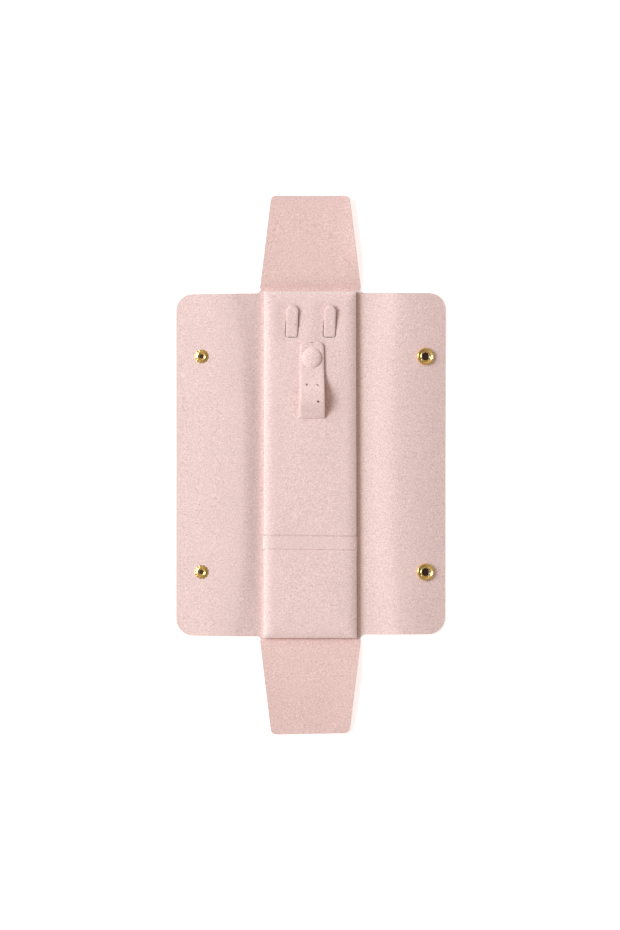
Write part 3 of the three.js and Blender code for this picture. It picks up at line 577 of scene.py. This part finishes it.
class Flap:
    """One flap: where its creases are, and the soft curve that it lies in."""

    def __init__(
        self, side, turn, knots, material, uneven, trim=0, curl=(0, 0), skew=0, sway=0, flare=0, fan=0
    ):
        self.side, self.knots, self.material = side, knots, material
        self.uneven, self.curl, self.skew = uneven, curl, skew
        self.sway, self.flare, self.fan = sway, flare, fan
        self.turn = math.radians(turn)
        self.out = np.array([math.cos(self.turn), math.sin(self.turn), 0])
        first, second = pivot(f"{side}_spine_fold"), pivot(f"{side}_flap_fold")
        self.crease, self.level = first @ self.out, first[2]
        self.fold, self.crest = (second - first) @ self.out, second[2]
        closing = [JOINTS[f"{side}_{part}_fold"]["range_deg"][1] for part in ("spine", "flap")]
        self.drop = math.tan(math.radians(sum(closing) - 180))
        reach = max(corner @ self.out for corner in corners(f"{side}_flap"))
        self.length = reach - self.crease - trim

    def height(self, out, share=0):
        """Height of the sheet's middle at a distance out from the first crease.

        share is the place across the flap, 0 at its middle and 1 at its ends, where the bend fans out.
        """
        later = self.fan * np.abs(share) ** 3 * ease(out / FAN_RISE)
        later = later * (1 - ease((out - FAN_RISE) / FAN_FADE))
        return curve(self.knots, out - later)

    def middle(self, rows, columns):
        """The sheet's middle surface. Each row is (distance out from the first crease, half width)."""
        out = np.array([row[0] for row in rows], float)
        half = np.array([row[1] for row in rows], float)
        half += self.flare * ease((out - SIDE_WEB_START) / SWAY_RUN) * (1 - out / self.length)
        out = out[:, None]
        loose = ease((out - self.fold) / LOOSE_RUN)
        share = np.linspace(-1, 1, columns)[None, :]
        across = half[:, None] * share + self.sway * ease((out - SWAY_START) / SWAY_RUN)
        away = self.crease + out + self.skew * across * loose
        x = away * math.cos(self.turn) - across * math.sin(self.turn)
        y = away * math.sin(self.turn) + across * math.cos(self.turn)
        lift = self.uneven * waves(x, y) + np.where(x < 0, *self.curl) * (across / END_ROOT_HALF) ** 4
        return np.stack([x, y, self.height(out, share) + loose * lift], axis=-1)

    def at(self, out):
        """A point on the line through the two folds, in metres, for the ends of a bend."""
        if out < self.fold:
            height = self.level + max(out, 0) * (self.crest - self.level) / self.fold
        else:
            height = self.crest - self.drop * (out - self.fold)
        return tuple(((self.crease + out) * self.out + np.array([0, 0, height])) * MM)


def rounded_end(length, half, radius, steps=9):
    """Rows round the two corners at the end of a flap or of the strap."""
    angles = np.linspace(0, math.pi / 2, steps)
    return [(length - radius + radius * math.sin(a), half - radius + radius * math.cos(a)) for a in angles]


def spread(start, end, step):
    return np.linspace(start, end, max(2, round((end - start) / step) + 1))


def under_board(across_crease):
    """Rows from the seam under the board out to a crease, mitred to meet the next flap's."""
    places = [*spread(-SEAM_BACK, -BEND, HIDDEN_STEP)[:-1], *spread(-BEND, 0, BEND_STEP)]
    return [(s, across_crease + s) for s in places]


def web_half(s):
    """Half width of a side flap, which is rounded out to meet the end flaps near its crease."""
    near = min(max(1 - (s - SIDE_WEB_START) / SIDE_WEB, 0), 1)
    return SIDE_HALF + (SIDE_ROOT_HALF - SIDE_HALF) * (1 - math.sqrt(1 - near * near))


def end_half(s):
    """Half width of an end flap, which narrows evenly."""
    return END_ROOT_HALF - END_SLOPE * s


def panel_rows(flap, half, corner):
    """Rows of a flap's panel, from halfway along its upright part to its round-cornered end."""
    past_fold = flap.fold + BEND + PAST_FOLD
    straight = flap.length - corner
    rows = [(s, half(s)) for s in spread(flap.fold / 2, past_fold, FOLD_STEP)]
    rows += [(s, half(s)) for s in spread(past_fold, straight, PANEL_STEP)[1:-1]]
    return rows + rounded_end(flap.length, half(straight), corner)


def side_rows(flap, end_crease):
    """Rows of a side flap's two pieces: its upright part with the webs at its ends, and its panel."""
    upright = under_board(end_crease)
    upright += [(s, SIDE_ROOT_HALF) for s in spread(SIDE_FIRST_ROW, SIDE_WEB_START - WEB_GAP, BEND_STEP)]
    upright += [(s, web_half(s)) for s in spread(SIDE_WEB_START, flap.fold / 2, WEB_STEP)[1:]]
    return upright, panel_rows(flap, web_half, SIDE_CORNER)


def end_rows(flap, side_crease):
    """Rows of an end flap's two pieces: its upright part and its panel."""
    upright = under_board(side_crease)
    upright += [(s, end_half(s)) for s in spread(END_FIRST_ROW, flap.fold / 2, BEND_STEP)]
    return upright, panel_rows(flap, end_half, END_CORNER)


def wrap_piece(name, flap, rows, columns, crease, replaced, seams):
    """One cloth piece of a flap, which takes the place of a plain solid."""
    rubbed = [min(max(s - RUB_START, 0), 1) for s, _ in rows]
    made = cloth_sheet(name, flap.middle(rows, columns), SHEET, flap.material, seams, rubbed=rubbed)
    flap.at(crease - BEND)
    flap.at(crease + BEND)
    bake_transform(made)
    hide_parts(replaced)


def wrap_flap(flap, rows, columns):
    upright, panel = rows
    spine, body = f"{flap.side}_spine", f"{flap.side}_flap"
    wrap_piece(f"{flap.side}_upright", flap, upright, columns, 0, spine, ("start", "end"))
    wrap_piece(f"{flap.side}_panel", flap, panel, columns, flap.fold, body, ("start",))


def wrap():
    """The four flaps and the sheet under the board. Returns the two side flaps."""
    left = Flap("left", 180, LEFT_CURVE, WRAP_SUEDE, SIDE_WAVES, trim=0.7, sway=0.37, flare=0.8, fan=8)
    right = Flap("right", 0, RIGHT_CURVE, WRAP_SUEDE, SIDE_WAVES, skew=0.002, sway=0.45, flare=0.4, fan=4)
    top = Flap("top", 90, TOP_CURVE, SHADED_END_SUEDE, END_WAVES, trim=0.7, curl=(0.4, 2.2))
    bottom = Flap("bottom", 270, BOTTOM_CURVE, SHADED_END_SUEDE, END_WAVES, skew=-0.018, curl=(0.5, 0.7))
    back_x, back_y = right.crease - SEAM_BACK, top.crease - SEAM_BACK
    for flap in (left, right):
        wrap_flap(flap, side_rows(flap, top.crease), SIDE_COLUMNS)
    for flap in (top, bottom):
        wrap_flap(flap, end_rows(flap, right.crease), END_COLUMNS)
    x, y = np.meshgrid(spread(-back_x, back_x, 4), spread(-back_y, back_y, 6), indexing="ij")
    middle = np.stack([x, y, np.full_like(x, SHEET / 2)], axis=-1)
    lift = np.array([0, 0, SHEET / 2])
    back = slab("back_sheet", middle + lift, middle - lift, [], WRAP_SUEDE)
    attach(back, "base")
    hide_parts("back_panel")
    return left, right


# Padded board


def roll_off(x, y, half_x, half_y):
    """How far the pad's top falls towards its edges."""
    near_x = np.clip(1 - (half_x - np.abs(x)) / PAD_ROLL, 0, 1)
    near_y = np.clip(1 - (half_y - np.abs(y)) / PAD_ROLL, 0, 1)
    return PAD_DROP * ((near_x ** PAD_CURVE) ** 4 + (near_y ** PAD_CURVE) ** 4) ** 0.25


def pad_lines(half, extra=()):
    edge = [half - step for step in PAD_EDGE_STEPS]
    inner = spread(-half + PAD_ROLL, half - PAD_ROLL, PAD_STEP)
    inner = [value for value in inner if all(abs(value - line) > PAD_LINE_GAP for line in extra)]
    return np.array(sorted([-value for value in edge] + inner + edge + list(extra)))


def corner_rounded(x, y, half_x, half_y):
    """Moves the grid's corners in so that they are round."""
    a = np.clip((np.abs(x) - half_x + PAD_CORNER) / PAD_CORNER, 0, 1)
    b = np.clip((np.abs(y) - half_y + PAD_CORNER) / PAD_CORNER, 0, 1)
    in_x = PAD_CORNER * a * (1 - np.sqrt(1 - b * b / 2))
    in_y = PAD_CORNER * b * (1 - np.sqrt(1 - a * a / 2))
    return x - np.sign(x) * in_x, y - np.sign(y) * in_y


def tab_frame(side):
    """A tab's place at its hinge, and the directions across and along it."""
    lean = TAB_LEAN[side]
    start = np.array([TAB_X[side], pivot(f"{side}_tab_lift")[1]])
    return start, np.array([math.cos(lean), -math.sin(lean)]), np.array([math.sin(lean), math.cos(lean)])


def arc(centre, radius, start, end, steps=8):
    angles = np.radians(np.linspace(start, end, steps))
    return [(centre[0] + radius * math.cos(a), centre[1] + radius * math.sin(a)) for a in angles]


def window_outline(side):
    """The opening that a tab lies in: round below, and running out under the tab's edges above."""
    start, across, along = tab_frame(side)
    half = TAB_WIDTH / 2
    left, right = half + WINDOW_LEFT[0][0], half + WINDOW_RIGHT[0][0]
    low = WINDOW_LOW + WINDOW_CORNER
    local = arc((right - WINDOW_CORNER, low), WINDOW_CORNER, 270, 360)
    local += [(half + gap, place) for gap, place in WINDOW_RIGHT]
    local += [(-half - gap, place) for gap, place in reversed(WINDOW_LEFT)]
    local += arc((WINDOW_CORNER - left, low), WINDOW_CORNER, 180, 270)
    return [start + a * across + b * along for a, b in local]


def from_window(x, y, side):
    """Distance in plan from a rectangle round a tab's opening, zero inside it."""
    start, across, along = tab_frame(side)
    right = (x - start[0]) * across[0] + (y - start[1]) * across[1]
    up = (x - start[0]) * along[0] + (y - start[1]) * along[1]
    beside = np.maximum(np.abs(right) - TAB_WIDTH / 2 - WINDOW_LEFT[0][0], 0)
    beyond = np.maximum(np.maximum(WINDOW_LOW - up, up - WINDOW_RIGHT[-1][1]), 0)
    return np.hypot(beside, beyond)


def swollen(pad, count, held):
    """Runs the cover as cloth under a little pressure.

    Returns how far each of its first points rises, as a share of the greatest rise.
    """
    rest = np.array([point.co for point in pad.data.vertices])
    group = pad.vertex_groups.new(name="held")
    group.add([int(i) for i in np.flatnonzero(held)], 1.0, "REPLACE")
    group.add(list(range(count, len(rest))), 1.0, "REPLACE")
    cloth = pad.modifiers.new("cover", "CLOTH")
    cloth.settings.vertex_group_mass = "held"
    cloth.settings.quality = SWELL_QUALITY
    cloth.settings.tension_stiffness = SWELL_STIFFNESS
    cloth.settings.compression_stiffness = SWELL_STIFFNESS
    cloth.settings.use_pressure = True
    cloth.settings.uniform_pressure_force = SWELL_PRESSURE
    cloth.settings.effector_weights.gravity = 0
    cloth.point_cache.frame_end = SWELL_FRAMES
    scene = bpy.context.scene
    for number in range(1, SWELL_FRAMES + 1):
        scene.frame_set(number)
    shape = pad.evaluated_get(bpy.context.evaluated_depsgraph_get())
    moved = np.array([point.co for point in shape.data.vertices])
    pad.modifiers.clear()
    scene.frame_set(1)
    rise = np.clip((moved - rest)[:count, 2], 0, None)
    return rise / max(rise.max(), TINY)


def pad_layer(name, node, half, inset, high, material):
    """A flat layer inside the cover. The foam shows in the openings round the tabs, where its darker colour
    is painted shade.
    """
    x, y = half - inset
    low, _ = corners(node)
    outline = [(x, y + PAD_SHIFT), (-x, y + PAD_SHIFT), (-x, PAD_SHIFT - y), (x, PAD_SHIFT - y)]
    layer = prism(name, outline, low[2], high, material)
    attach(layer, "base")
    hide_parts(node)
    return layer


def carve_windows(made, floor):
    """Cuts the tabs' openings down to a floor."""
    carve(made, [prism(f"{side}_window", window_outline(side), floor, WINDOW_TOP) for side in TAB_X])


def pad_grid(half):
    """The cover's top in plan: x, y, how far it falls towards its edges, and the distance in from them."""
    half_x, half_y = half
    trough_lines = [BAND_Y + side * (BAND_WIDTH / 2 + step) for side in (-1, 1) for step in TROUGH_STEPS]
    lines = pad_lines(half_y, [line - PAD_SHIFT for line in trough_lines])
    x, y = np.meshgrid(pad_lines(half_x), lines, indexing="ij")
    fall = roll_off(x, y, half_x, half_y)
    inside = np.minimum(half_x - np.abs(x), half_y - np.abs(y))
    x, y = corner_rounded(x, y, half_x, half_y)
    x = x * (1 - PAD_TAPER * (y / half_y + 1) / 2)
    return x, y + PAD_SHIFT, fall, inside


def pad_cover(half, top_z):
    """The stuffed cover, with a trough for the band and openings for the tabs."""
    half_x, half_y = half
    x, y, fall, inside = pad_grid(half)
    window = np.minimum(from_window(x, y, "left"), from_window(x, y, "right"))
    snap = np.hypot(x - STRAP_X, y - BUTTON_Y)
    band = np.abs(y - BAND_Y) - BAND_WIDTH / 2
    held = (inside < HELD_EDGE) | (window < HELD_WINDOW) | (snap < HELD_SNAP) | (band < 0)
    in_trough = (band < TROUGH_REACH) & (inside > TROUGH_EDGE)
    y = y + np.where(in_trough, BAND_TILT * x, 0)
    top = np.stack([x, y, top_z - fall], axis=-1)
    bottom = np.stack([x, y, np.full_like(x, PAD_BASE)], axis=-1)
    edge = ring(top)
    rims = [edge * [1 + out / half_x, 1 + out / half_y, 1] - [0, 0, down] for out, down in PAD_SIDE]
    pad = slab("pad", top, bottom, rims, PAD_SUEDE)
    rise = swollen(pad, x.size, held.ravel())
    trough = BAND_DENT * ease((TROUGH_WALL - np.maximum(band - TROUGH_FLOOR, 0)) / TROUGH_WALL)
    dents = trough + DIMPLE * np.exp(-((window / DIMPLE_REACH) ** 2))
    for point, up, down in zip(pad.data.vertices, rise, dents.ravel()):
        point.co.z += (SWELL * up - down) * MM
    carve_windows(pad, WINDOW_FLOOR)
    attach(pad, "base")
    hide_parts("pad_cover")


def padded_board():
    """The cover and the layers inside it. Returns the cover's half width and the height of its top."""
    _, high = corners("pad_cover")
    half = high[:2] - PAD_INSET
    top_z = high[2] + PAD_RAISE
    pad_cover(half, top_z)
    foam = pad_layer("foam", "pad_foam", half, FOAM_INSET, top_z - FOAM_BELOW, FOAM_WITH_SHADE)
    carve_windows(foam, FOAM_FLOOR)
    _, board_top = corners("pad_board")
    pad_layer("board", "pad_board", half, BOARD_INSET, board_top[2], BOARD)
    return half[0], top_z


# Tabs, strap, button and band


def tab_rows():
    """A tab's (place along it, half width): small round corners below and a round end above."""
    half, end = TAB_WIDTH / 2, TAB_ROOT + TAB_LENGTH
    low = TAB_ROOT + TAB_CORNER
    angles = np.radians(np.linspace(ROW_TURN, 90, 6))
    rows = [(low - TAB_CORNER * math.cos(a), half - TAB_CORNER * (1 - math.sin(a))) for a in angles]
    rows += [(s, half) for s in spread(low, end - half, 1)[1:-1]]
    angles = np.radians(np.linspace(0, 90 - ROW_TURN, 10))
    return rows + [(end - half + half * math.sin(a), half * math.cos(a)) for a in angles]


def hook_tab(side, top_z):
    """A tongue that comes out of its opening and lies over the pad."""
    start, across, along = tab_frame(side)
    rows = tab_rows()
    length = np.array([row[0] for row in rows])[:, None]
    share = np.sin(np.linspace(-math.pi / 2, math.pi / 2, TAB_COLUMNS))[None, :]
    beside = np.array([row[1] for row in rows])[:, None] * share
    curl = TAB_RISE[side] * ease((length - TAB_CURL_START) / TAB_CURL)
    height = top_z - TAB_SUNK + ease((length - TAB_ROOT) / TAB_EMERGE) + curl
    x = start[0] + across[0] * beside + along[0] * length
    y = start[1] + across[1] * beside + along[1] * length
    z = height - TAB_PILLOW * np.abs(share) ** TAB_PILLOW_POWER
    middle = np.stack([x, y, z], axis=-1)
    made = cloth_sheet(f"{side}_tab_tongue", middle, TAB_THICKNESS, PAD_SUEDE, worn=TAB_WORN)
    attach(made, f"{side}_tab")
    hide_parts(f"{side}_hook_tab")


def bezier(a, b, c, d, steps):
    t = np.linspace(0, 1, steps)[:, None]
    a, b, c, d = (np.array(point, float) for point in (a, b, c, d))
    return (1 - t) ** 3 * a + 3 * t * (1 - t) ** 2 * b + 3 * t * t * (1 - t) * c + t ** 3 * d


def strap_front_line(top_z):
    """The strap's front from its fold over the loop to its upper end, as [y, z]."""
    fold = (STRAP_FOLD + STRAP_SHEET / 2, top_z + STRAP_FOLD_RISE)
    crest = (STRAP_CREST, top_z + STRAP_CREST_RISE)
    flat = (STRAP_FLAT, top_z + STRAP_FRONT_RISE + STRAP_SLOPE * (STRAP_TOP - STRAP_FLAT))
    rising = (fold[0] + STRAP_FOLD_PULL[0], fold[1] + STRAP_FOLD_PULL[1])
    first = bezier(fold, rising, (crest[0] - STRAP_CREST_PULL, crest[1]), crest, STRAP_CURVE_STEPS)
    pull = STRAP_FLAT_PULL * (flat[0] - crest[0])
    second = bezier(crest, (crest[0] + pull, crest[1]), (flat[0] - pull, flat[1]), flat, STRAP_CURVE_STEPS)
    beyond = spread(STRAP_FLAT, STRAP_TOP - STRAP_CORNER, STRAP_FRONT_STEP)[1:-1]
    straight = np.stack([beyond, flat[1] - STRAP_SLOPE * (beyond - STRAP_FLAT)], axis=-1)
    return np.concatenate([first, second[1:], straight])


def strap_back_line(top_z):
    """The strap's back from its fold along the pad to its upper end, as [y, z]."""
    fold = (STRAP_FOLD + STRAP_SHEET / 2, top_z + STRAP_FOLD_RISE)
    level, radius = top_z + STRAP_BACK_RISE, STRAP_FOLD_RISE - STRAP_BACK_RISE
    angles = np.linspace(0, math.pi / 2, 7)
    bend = [(fold[0] + radius * (1 - math.cos(a)), fold[1] - radius * math.sin(a)) for a in angles]
    straight = [(y, level) for y in spread(bend[-1][0], STRAP_TOP - STRAP_CORNER, STRAP_BACK_STEP)[1:-1]]
    return np.concatenate([bend, straight])


def strap_leg(name, line, skew):
    """One leg of the strap, with round corners at its upper end."""
    half = STRAP_WIDTH / 2
    ends = rounded_end(STRAP_TOP, half, STRAP_CORNER)
    line = np.concatenate([line, [(y, line[-1][1]) for y, _ in ends]])
    halves = np.array([half] * (len(line) - len(ends)) + [row[1] for row in ends])
    share = np.sin(np.linspace(-math.pi / 2, math.pi / 2, STRAP_COLUMNS))[None, :]
    across = halves[:, None] * share
    y = np.broadcast_to(line[:, :1], across.shape)
    z = line[:, 1:] - STRAP_PILLOW * np.abs(share) ** STRAP_PILLOW_POWER
    below = STRAP_TOP - y
    x = STRAP_X + skew * below + across * (1 + STRAP_SPREAD * below / half)
    return cloth_sheet(name, np.stack([x, y, z], axis=-1), STRAP_SHEET, STRAP_SUEDE, ("start",), STRAP_WORN)


def earring_hole(x, y, long, short, turn):
    """Outline of one pierced hole, placed from the strap's middle."""
    centre = STRAP_X + x + STRAP_SKEW * (STRAP_TOP - y)
    cos, sin = math.cos(math.radians(turn)), math.sin(math.radians(turn))
    angles = np.linspace(0, 2 * math.pi, HOLE_SIDES, endpoint=False)
    oval = [(long * math.cos(a), short * math.sin(a)) for a in angles]
    return [(centre + a * cos - b * sin, y + a * sin + b * cos) for a, b in oval]


def hole_shade_disc(line, hole):
    """A dark disc of painted shade in one pierced hole, inside the strap's thickness."""
    x, y, long, short, turn = hole
    level = float(np.interp(y, line[:, 0], line[:, 1]))
    outline = earring_hole(x, y, long + HOLE_SHADE_MARGIN, short + HOLE_SHADE_MARGIN, turn)
    shade_disc = prism("hole_shade_disc", outline, level - HOLE_SHADE_DEPTH, level, HOLE_SHADE)
    for point in shade_disc.data.vertices:
        point.co.z += (float(np.interp(point.co.y / MM, line[:, 0], line[:, 1])) - level) * MM
    return shade_disc


def strap_front(top_z):
    """The strap's front leg with its pierced holes."""
    line = strap_front_line(top_z)
    front = strap_leg("strap_loop", line, STRAP_SKEW)
    low = top_z + STRAP_FRONT_RISE
    tools = [prism("earring_hole", earring_hole(*hole), low, 2 * low) for hole in EARRING_HOLES]
    carve(front, tools, "FAST")  # the exact solver leaves pegs here instead of holes
    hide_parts("strap_front_leg")
    for made in [front] + [hole_shade_disc(line, hole) for hole in EARRING_HOLES]:
        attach(made, "strap_front")
        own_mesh(made)


def strap_back(top_z):
    """The strap's back leg on the pad."""
    back = strap_leg("strap_back", strap_back_line(top_z), STRAP_BACK_SKEW)
    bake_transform(back)
    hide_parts("strap_back_leg")


def strap_button(top_z):
    """The covered button on the strap's front leg, and its shell."""
    seat_z = top_z + STRAP_FRONT_RISE + STRAP_SLOPE * (STRAP_TOP - BUTTON_Y) + STRAP_SHEET / 2 - BUTTON_SUNK
    seat = Matrix.Translation((STRAP_X, BUTTON_Y, seat_z))
    seat = seat @ Matrix.Rotation(-BUTTON_TILT, 4, "Y")
    button = turned("button", BUTTON, 64, seat, STRAP_SUEDE, "suede")
    shell = turned("button_inside", BUTTON_INSIDE, 40, seat, BRASS, "brass")
    for made, node in ((button, "button_cover"), (shell, "button_shell")):
        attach(made, "strap_front")
        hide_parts(node)


def retaining_band(half_x, top_z):
    """A flat tape across the pad, turned down over its long edges."""
    rise = BAND / 2 + BAND_CLEAR - BAND_DENT
    steps = np.array(PAD_EDGE_STEPS[1:] + [PAD_ROLL])
    edge = [(half_x - d, top_z - float(roll_off(half_x - d, 0, half_x, FAR)) + rise) for d in steps]
    side = half_x + PAD_SIDE[-1][0] + BAND / 2
    down = [(side, PAD_BASE + BAND_FOOT)] + [(side + out, height) for out, height in BAND_DOWN]
    right = down + edge
    flat = [(x, top_z + rise) for x in spread(-half_x + PAD_ROLL, half_x - PAD_ROLL, BAND_STEP)[1:-1]]
    line = np.array([(-x, z) for x, z in right] + flat + right[::-1])
    across = np.linspace(-BAND_WIDTH / 2, BAND_WIDTH / 2, BAND_COLUMNS)[None, :]
    x = np.repeat(line[:, :1], BAND_COLUMNS, axis=1)
    z = np.repeat(line[:, 1:], BAND_COLUMNS, axis=1)
    y = BAND_Y + across + BAND_TILT * x
    made = cloth_sheet("band", np.stack([x, y, z], axis=-1), BAND, PAD_SUEDE)
    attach(made, "base")
    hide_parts("retaining_band")
    length = length_of(line)
    flat = (LEAST_FLAT * MM, length * MM)


# Press studs


def scalloped(radius, height, angle):
    """Twelve petals round an eyelet's flange, with notches between them."""
    outer = np.clip((radius - PETAL_START) / PETAL_RUN, 0, 1)
    notch = (0.5 + 0.5 * np.cos(SCALLOPS * angle)) ** 3
    return radius * (1 - NOTCH_IN * outer * notch), height * (1 - NOTCH_DOWN * outer * notch)


EYELET = [
    (1.55, -1.2), (1.8, -1.2), (1.85, 0), (4.7, 0), (4.85, 0.06), (4.75, 0.12), (4.3, 0.12), (3.95, 0.15),
    (3.6, 0.28), (3.2, 0.46), (2.85, 0.54), (2.5, 0.54), (2.2, 0.42), (1.95, 0.26), (1.7, 0.16),
    (1.55, 0.08),
]
# Floor disc of painted shade inside the eyelet's hole
EYELET_SHADE_FLOOR = [(0, 0.01), (1.6, 0.01), (1.6, 0.06), (0, 0.06)]
STUD = [
    (0, 0), (4.75, 0), (4.8, -0.12), (4.6, -0.3), (3.4, -0.42), (2.6, -0.5), (2.25, -0.65), (2.25, -0.9),
    (2.5, -1.02), (2.58, -1.18), (2.48, -1.38), (2.1, -1.5), (0, -1.55),
]
SOCKET = [
    (2.95, 0.02), (5.4, 0.02), (5.8, 0.2), (5.95, 0.6), (5.9, 1.1), (5.7, 1.55), (5.4, 1.8), (5.15, 1.85),
    (4.8, 1.66), (4.3, 1.32), (3.8, 0.98), (3.5, 0.92), (3.25, 1.14), (2.95, 1.24), (2.75, 1.14),
    (2.75, 0.9), (2.95, 0.5),
]
# Floor disc of painted shade inside the socket's hole
SOCKET_SHADE_FLOOR = [(0, 0.02), (3.0, 0.02), (3.0, 0.12), (0, 0.12)]
CAP = [
    (0, 0), (5.9, 0), (6.2, -0.1), (6.25, -0.3), (6.05, -0.6), (5.2, -0.95), (3.6, -1.2), (1.8, -1.28),
    (0, -1.3),
]


def on_panel(flap, out, y, face):
    """Where a press stud sits on a flap's panel: face is 1 for the upper side and -1 for the lower."""
    near, far = flap.height(np.array([out - 1, out + 1]), y / SIDE_HALF)
    tilt = math.atan2(far - near, 2)
    x = (flap.crease + out - face * SHEET / 2 * math.sin(tilt)) * math.cos(flap.turn)
    up = (near + far) / 2 + face * SHEET / 2 * math.cos(tilt)
    return Matrix.Translation((x, y, up)) @ Matrix.Rotation(-tilt * math.cos(flap.turn), 4, "Y")


def stud_half(name, flap, face, floor, back, ripple=None):
    """Half of a press stud on a flap. Its face, its floor of painted shade and its back are each (name,
    profile, sides).
    """
    body = f"{flap.side}_flap"
    low, high = corners(f"{name}_{face[0]}")
    middle = (low + high) / 2
    out = middle[0] * math.cos(flap.turn) - flap.crease
    seat = on_panel(flap, out, middle[1], 1)
    front = turned(f"{name}_{flap.side}_{face[0]}", *face[1:], seat, BRASS, "brass", ripple)
    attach(turned(f"{name}_{floor[0]}", *floor[1:], seat, STUD_HOLE_SHADE, "steel"), body)
    seat = on_panel(flap, out, middle[1], -1)
    behind = turned(f"{name}_{flap.side}_{back[0]}", *back[1:], seat, BRASS, "brass")
    for made, node in ((front, f"{name}_{face[0]}"), (behind, f"{name}_{back[0]}")):
        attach(made, body)
        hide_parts(node)


def press_studs(left, right):
    eyelet = ("eyelet", EYELET, 96)
    eyelet_floor = ("eyelet_floor", EYELET_SHADE_FLOOR, 32)
    socket = ("socket", SOCKET, 72)
    socket_floor = ("socket_floor", SOCKET_SHADE_FLOOR, 40)
    for name in ("upper", "lower"):
        stud_half(name, left, eyelet, eyelet_floor, ("stud", STUD, 48), scalloped)
        stud_half(name, right, socket, socket_floor, ("cap", CAP, 64))


def paint(node, material):
    """Gives a modelled solid that stays in the scene its material."""
    mesh = frame["nodes"][node].data
    mesh.materials.clear()
    mesh.materials.append(material)


# Studio


def sky():
    """The fill: its brightness changes evenly with direction."""
    world = bpy.data.worlds.new("studio")
    world.use_nodes = True
    tree = world.node_tree
    lean = tree.nodes.new("ShaderNodeVectorMath")
    lean.operation = "DOT_PRODUCT"
    lean.inputs[1].default_value = SKY_LEAN
    tree.links.new(tree.nodes.new("ShaderNodeTexCoord").outputs["Generated"], lean.inputs[0])
    level = maths(tree, "ADD", lean.outputs["Value"], SKY_LEVEL)
    tree.links.new(maths(tree, "MULTIPLY", level, FILL), tree.nodes["Background"].inputs["Strength"])
    tree.nodes["Background"].inputs["Color"].default_value = FILL_COLOUR
    return world


def studio():
    bpy.ops.mesh.primitive_plane_add(size=FLOOR_SIZE, location=(0, 0, 0))
    floor = bpy.context.object
    floor.name = "floor"
    floor.data.materials.append(glowing("pale floor", (0.97, 0.97, 0.97), FLOOR_GLOW))
    key = bpy.data.objects.new("key", bpy.data.lights.new("key", "AREA"))
    key.data.shape, key.data.size = "DISK", 2 * KEY_RADIUS
    key.data.energy, key.data.color = KEY_POWER, KEY_COLOUR
    turn, rise = math.radians(180 - KEY_TURN), math.radians(KEY_HEIGHT)
    towards = Vector((math.cos(turn) * math.cos(rise), math.sin(turn) * math.cos(rise), math.sin(rise)))
    key.location = KEY_DISTANCE * towards
    key.rotation_euler = towards.to_track_quat("Z", "Y").to_euler()
    camera = bpy.data.objects.new("camera", bpy.data.cameras.new("camera"))
    camera.location = CAMERA_PLACE
    camera.data.sensor_fit = "VERTICAL"
    camera.data.sensor_height = SENSOR
    camera.data.lens = SENSOR * CAMERA_PLACE[2] / VIEW_HEIGHT
    for made in (key, camera):
        bpy.context.scene.collection.objects.link(made)
    bpy.context.scene.camera = camera
    bpy.context.scene.world = sky()
    bpy.context.scene.view_settings.view_transform = "Standard"


left_flap, right_flap = wrap()
pad_x, pad_z = padded_board()
for tab_side in TAB_X:
    hook_tab(tab_side, pad_z)
strap_front(pad_z)
strap_back(pad_z)
strap_button(pad_z)
retaining_band(pad_x, pad_z)
press_studs(left_flap, right_flap)
for spring in ("upper_spring", "lower_spring"):
    paint(spring, STEEL)
for brass_node in ("strap_stud", "strap_socket", "strap_rivet_plate"):
    paint(brass_node, BRASS)
paint("pad_adhesive", GLUE)
studio()
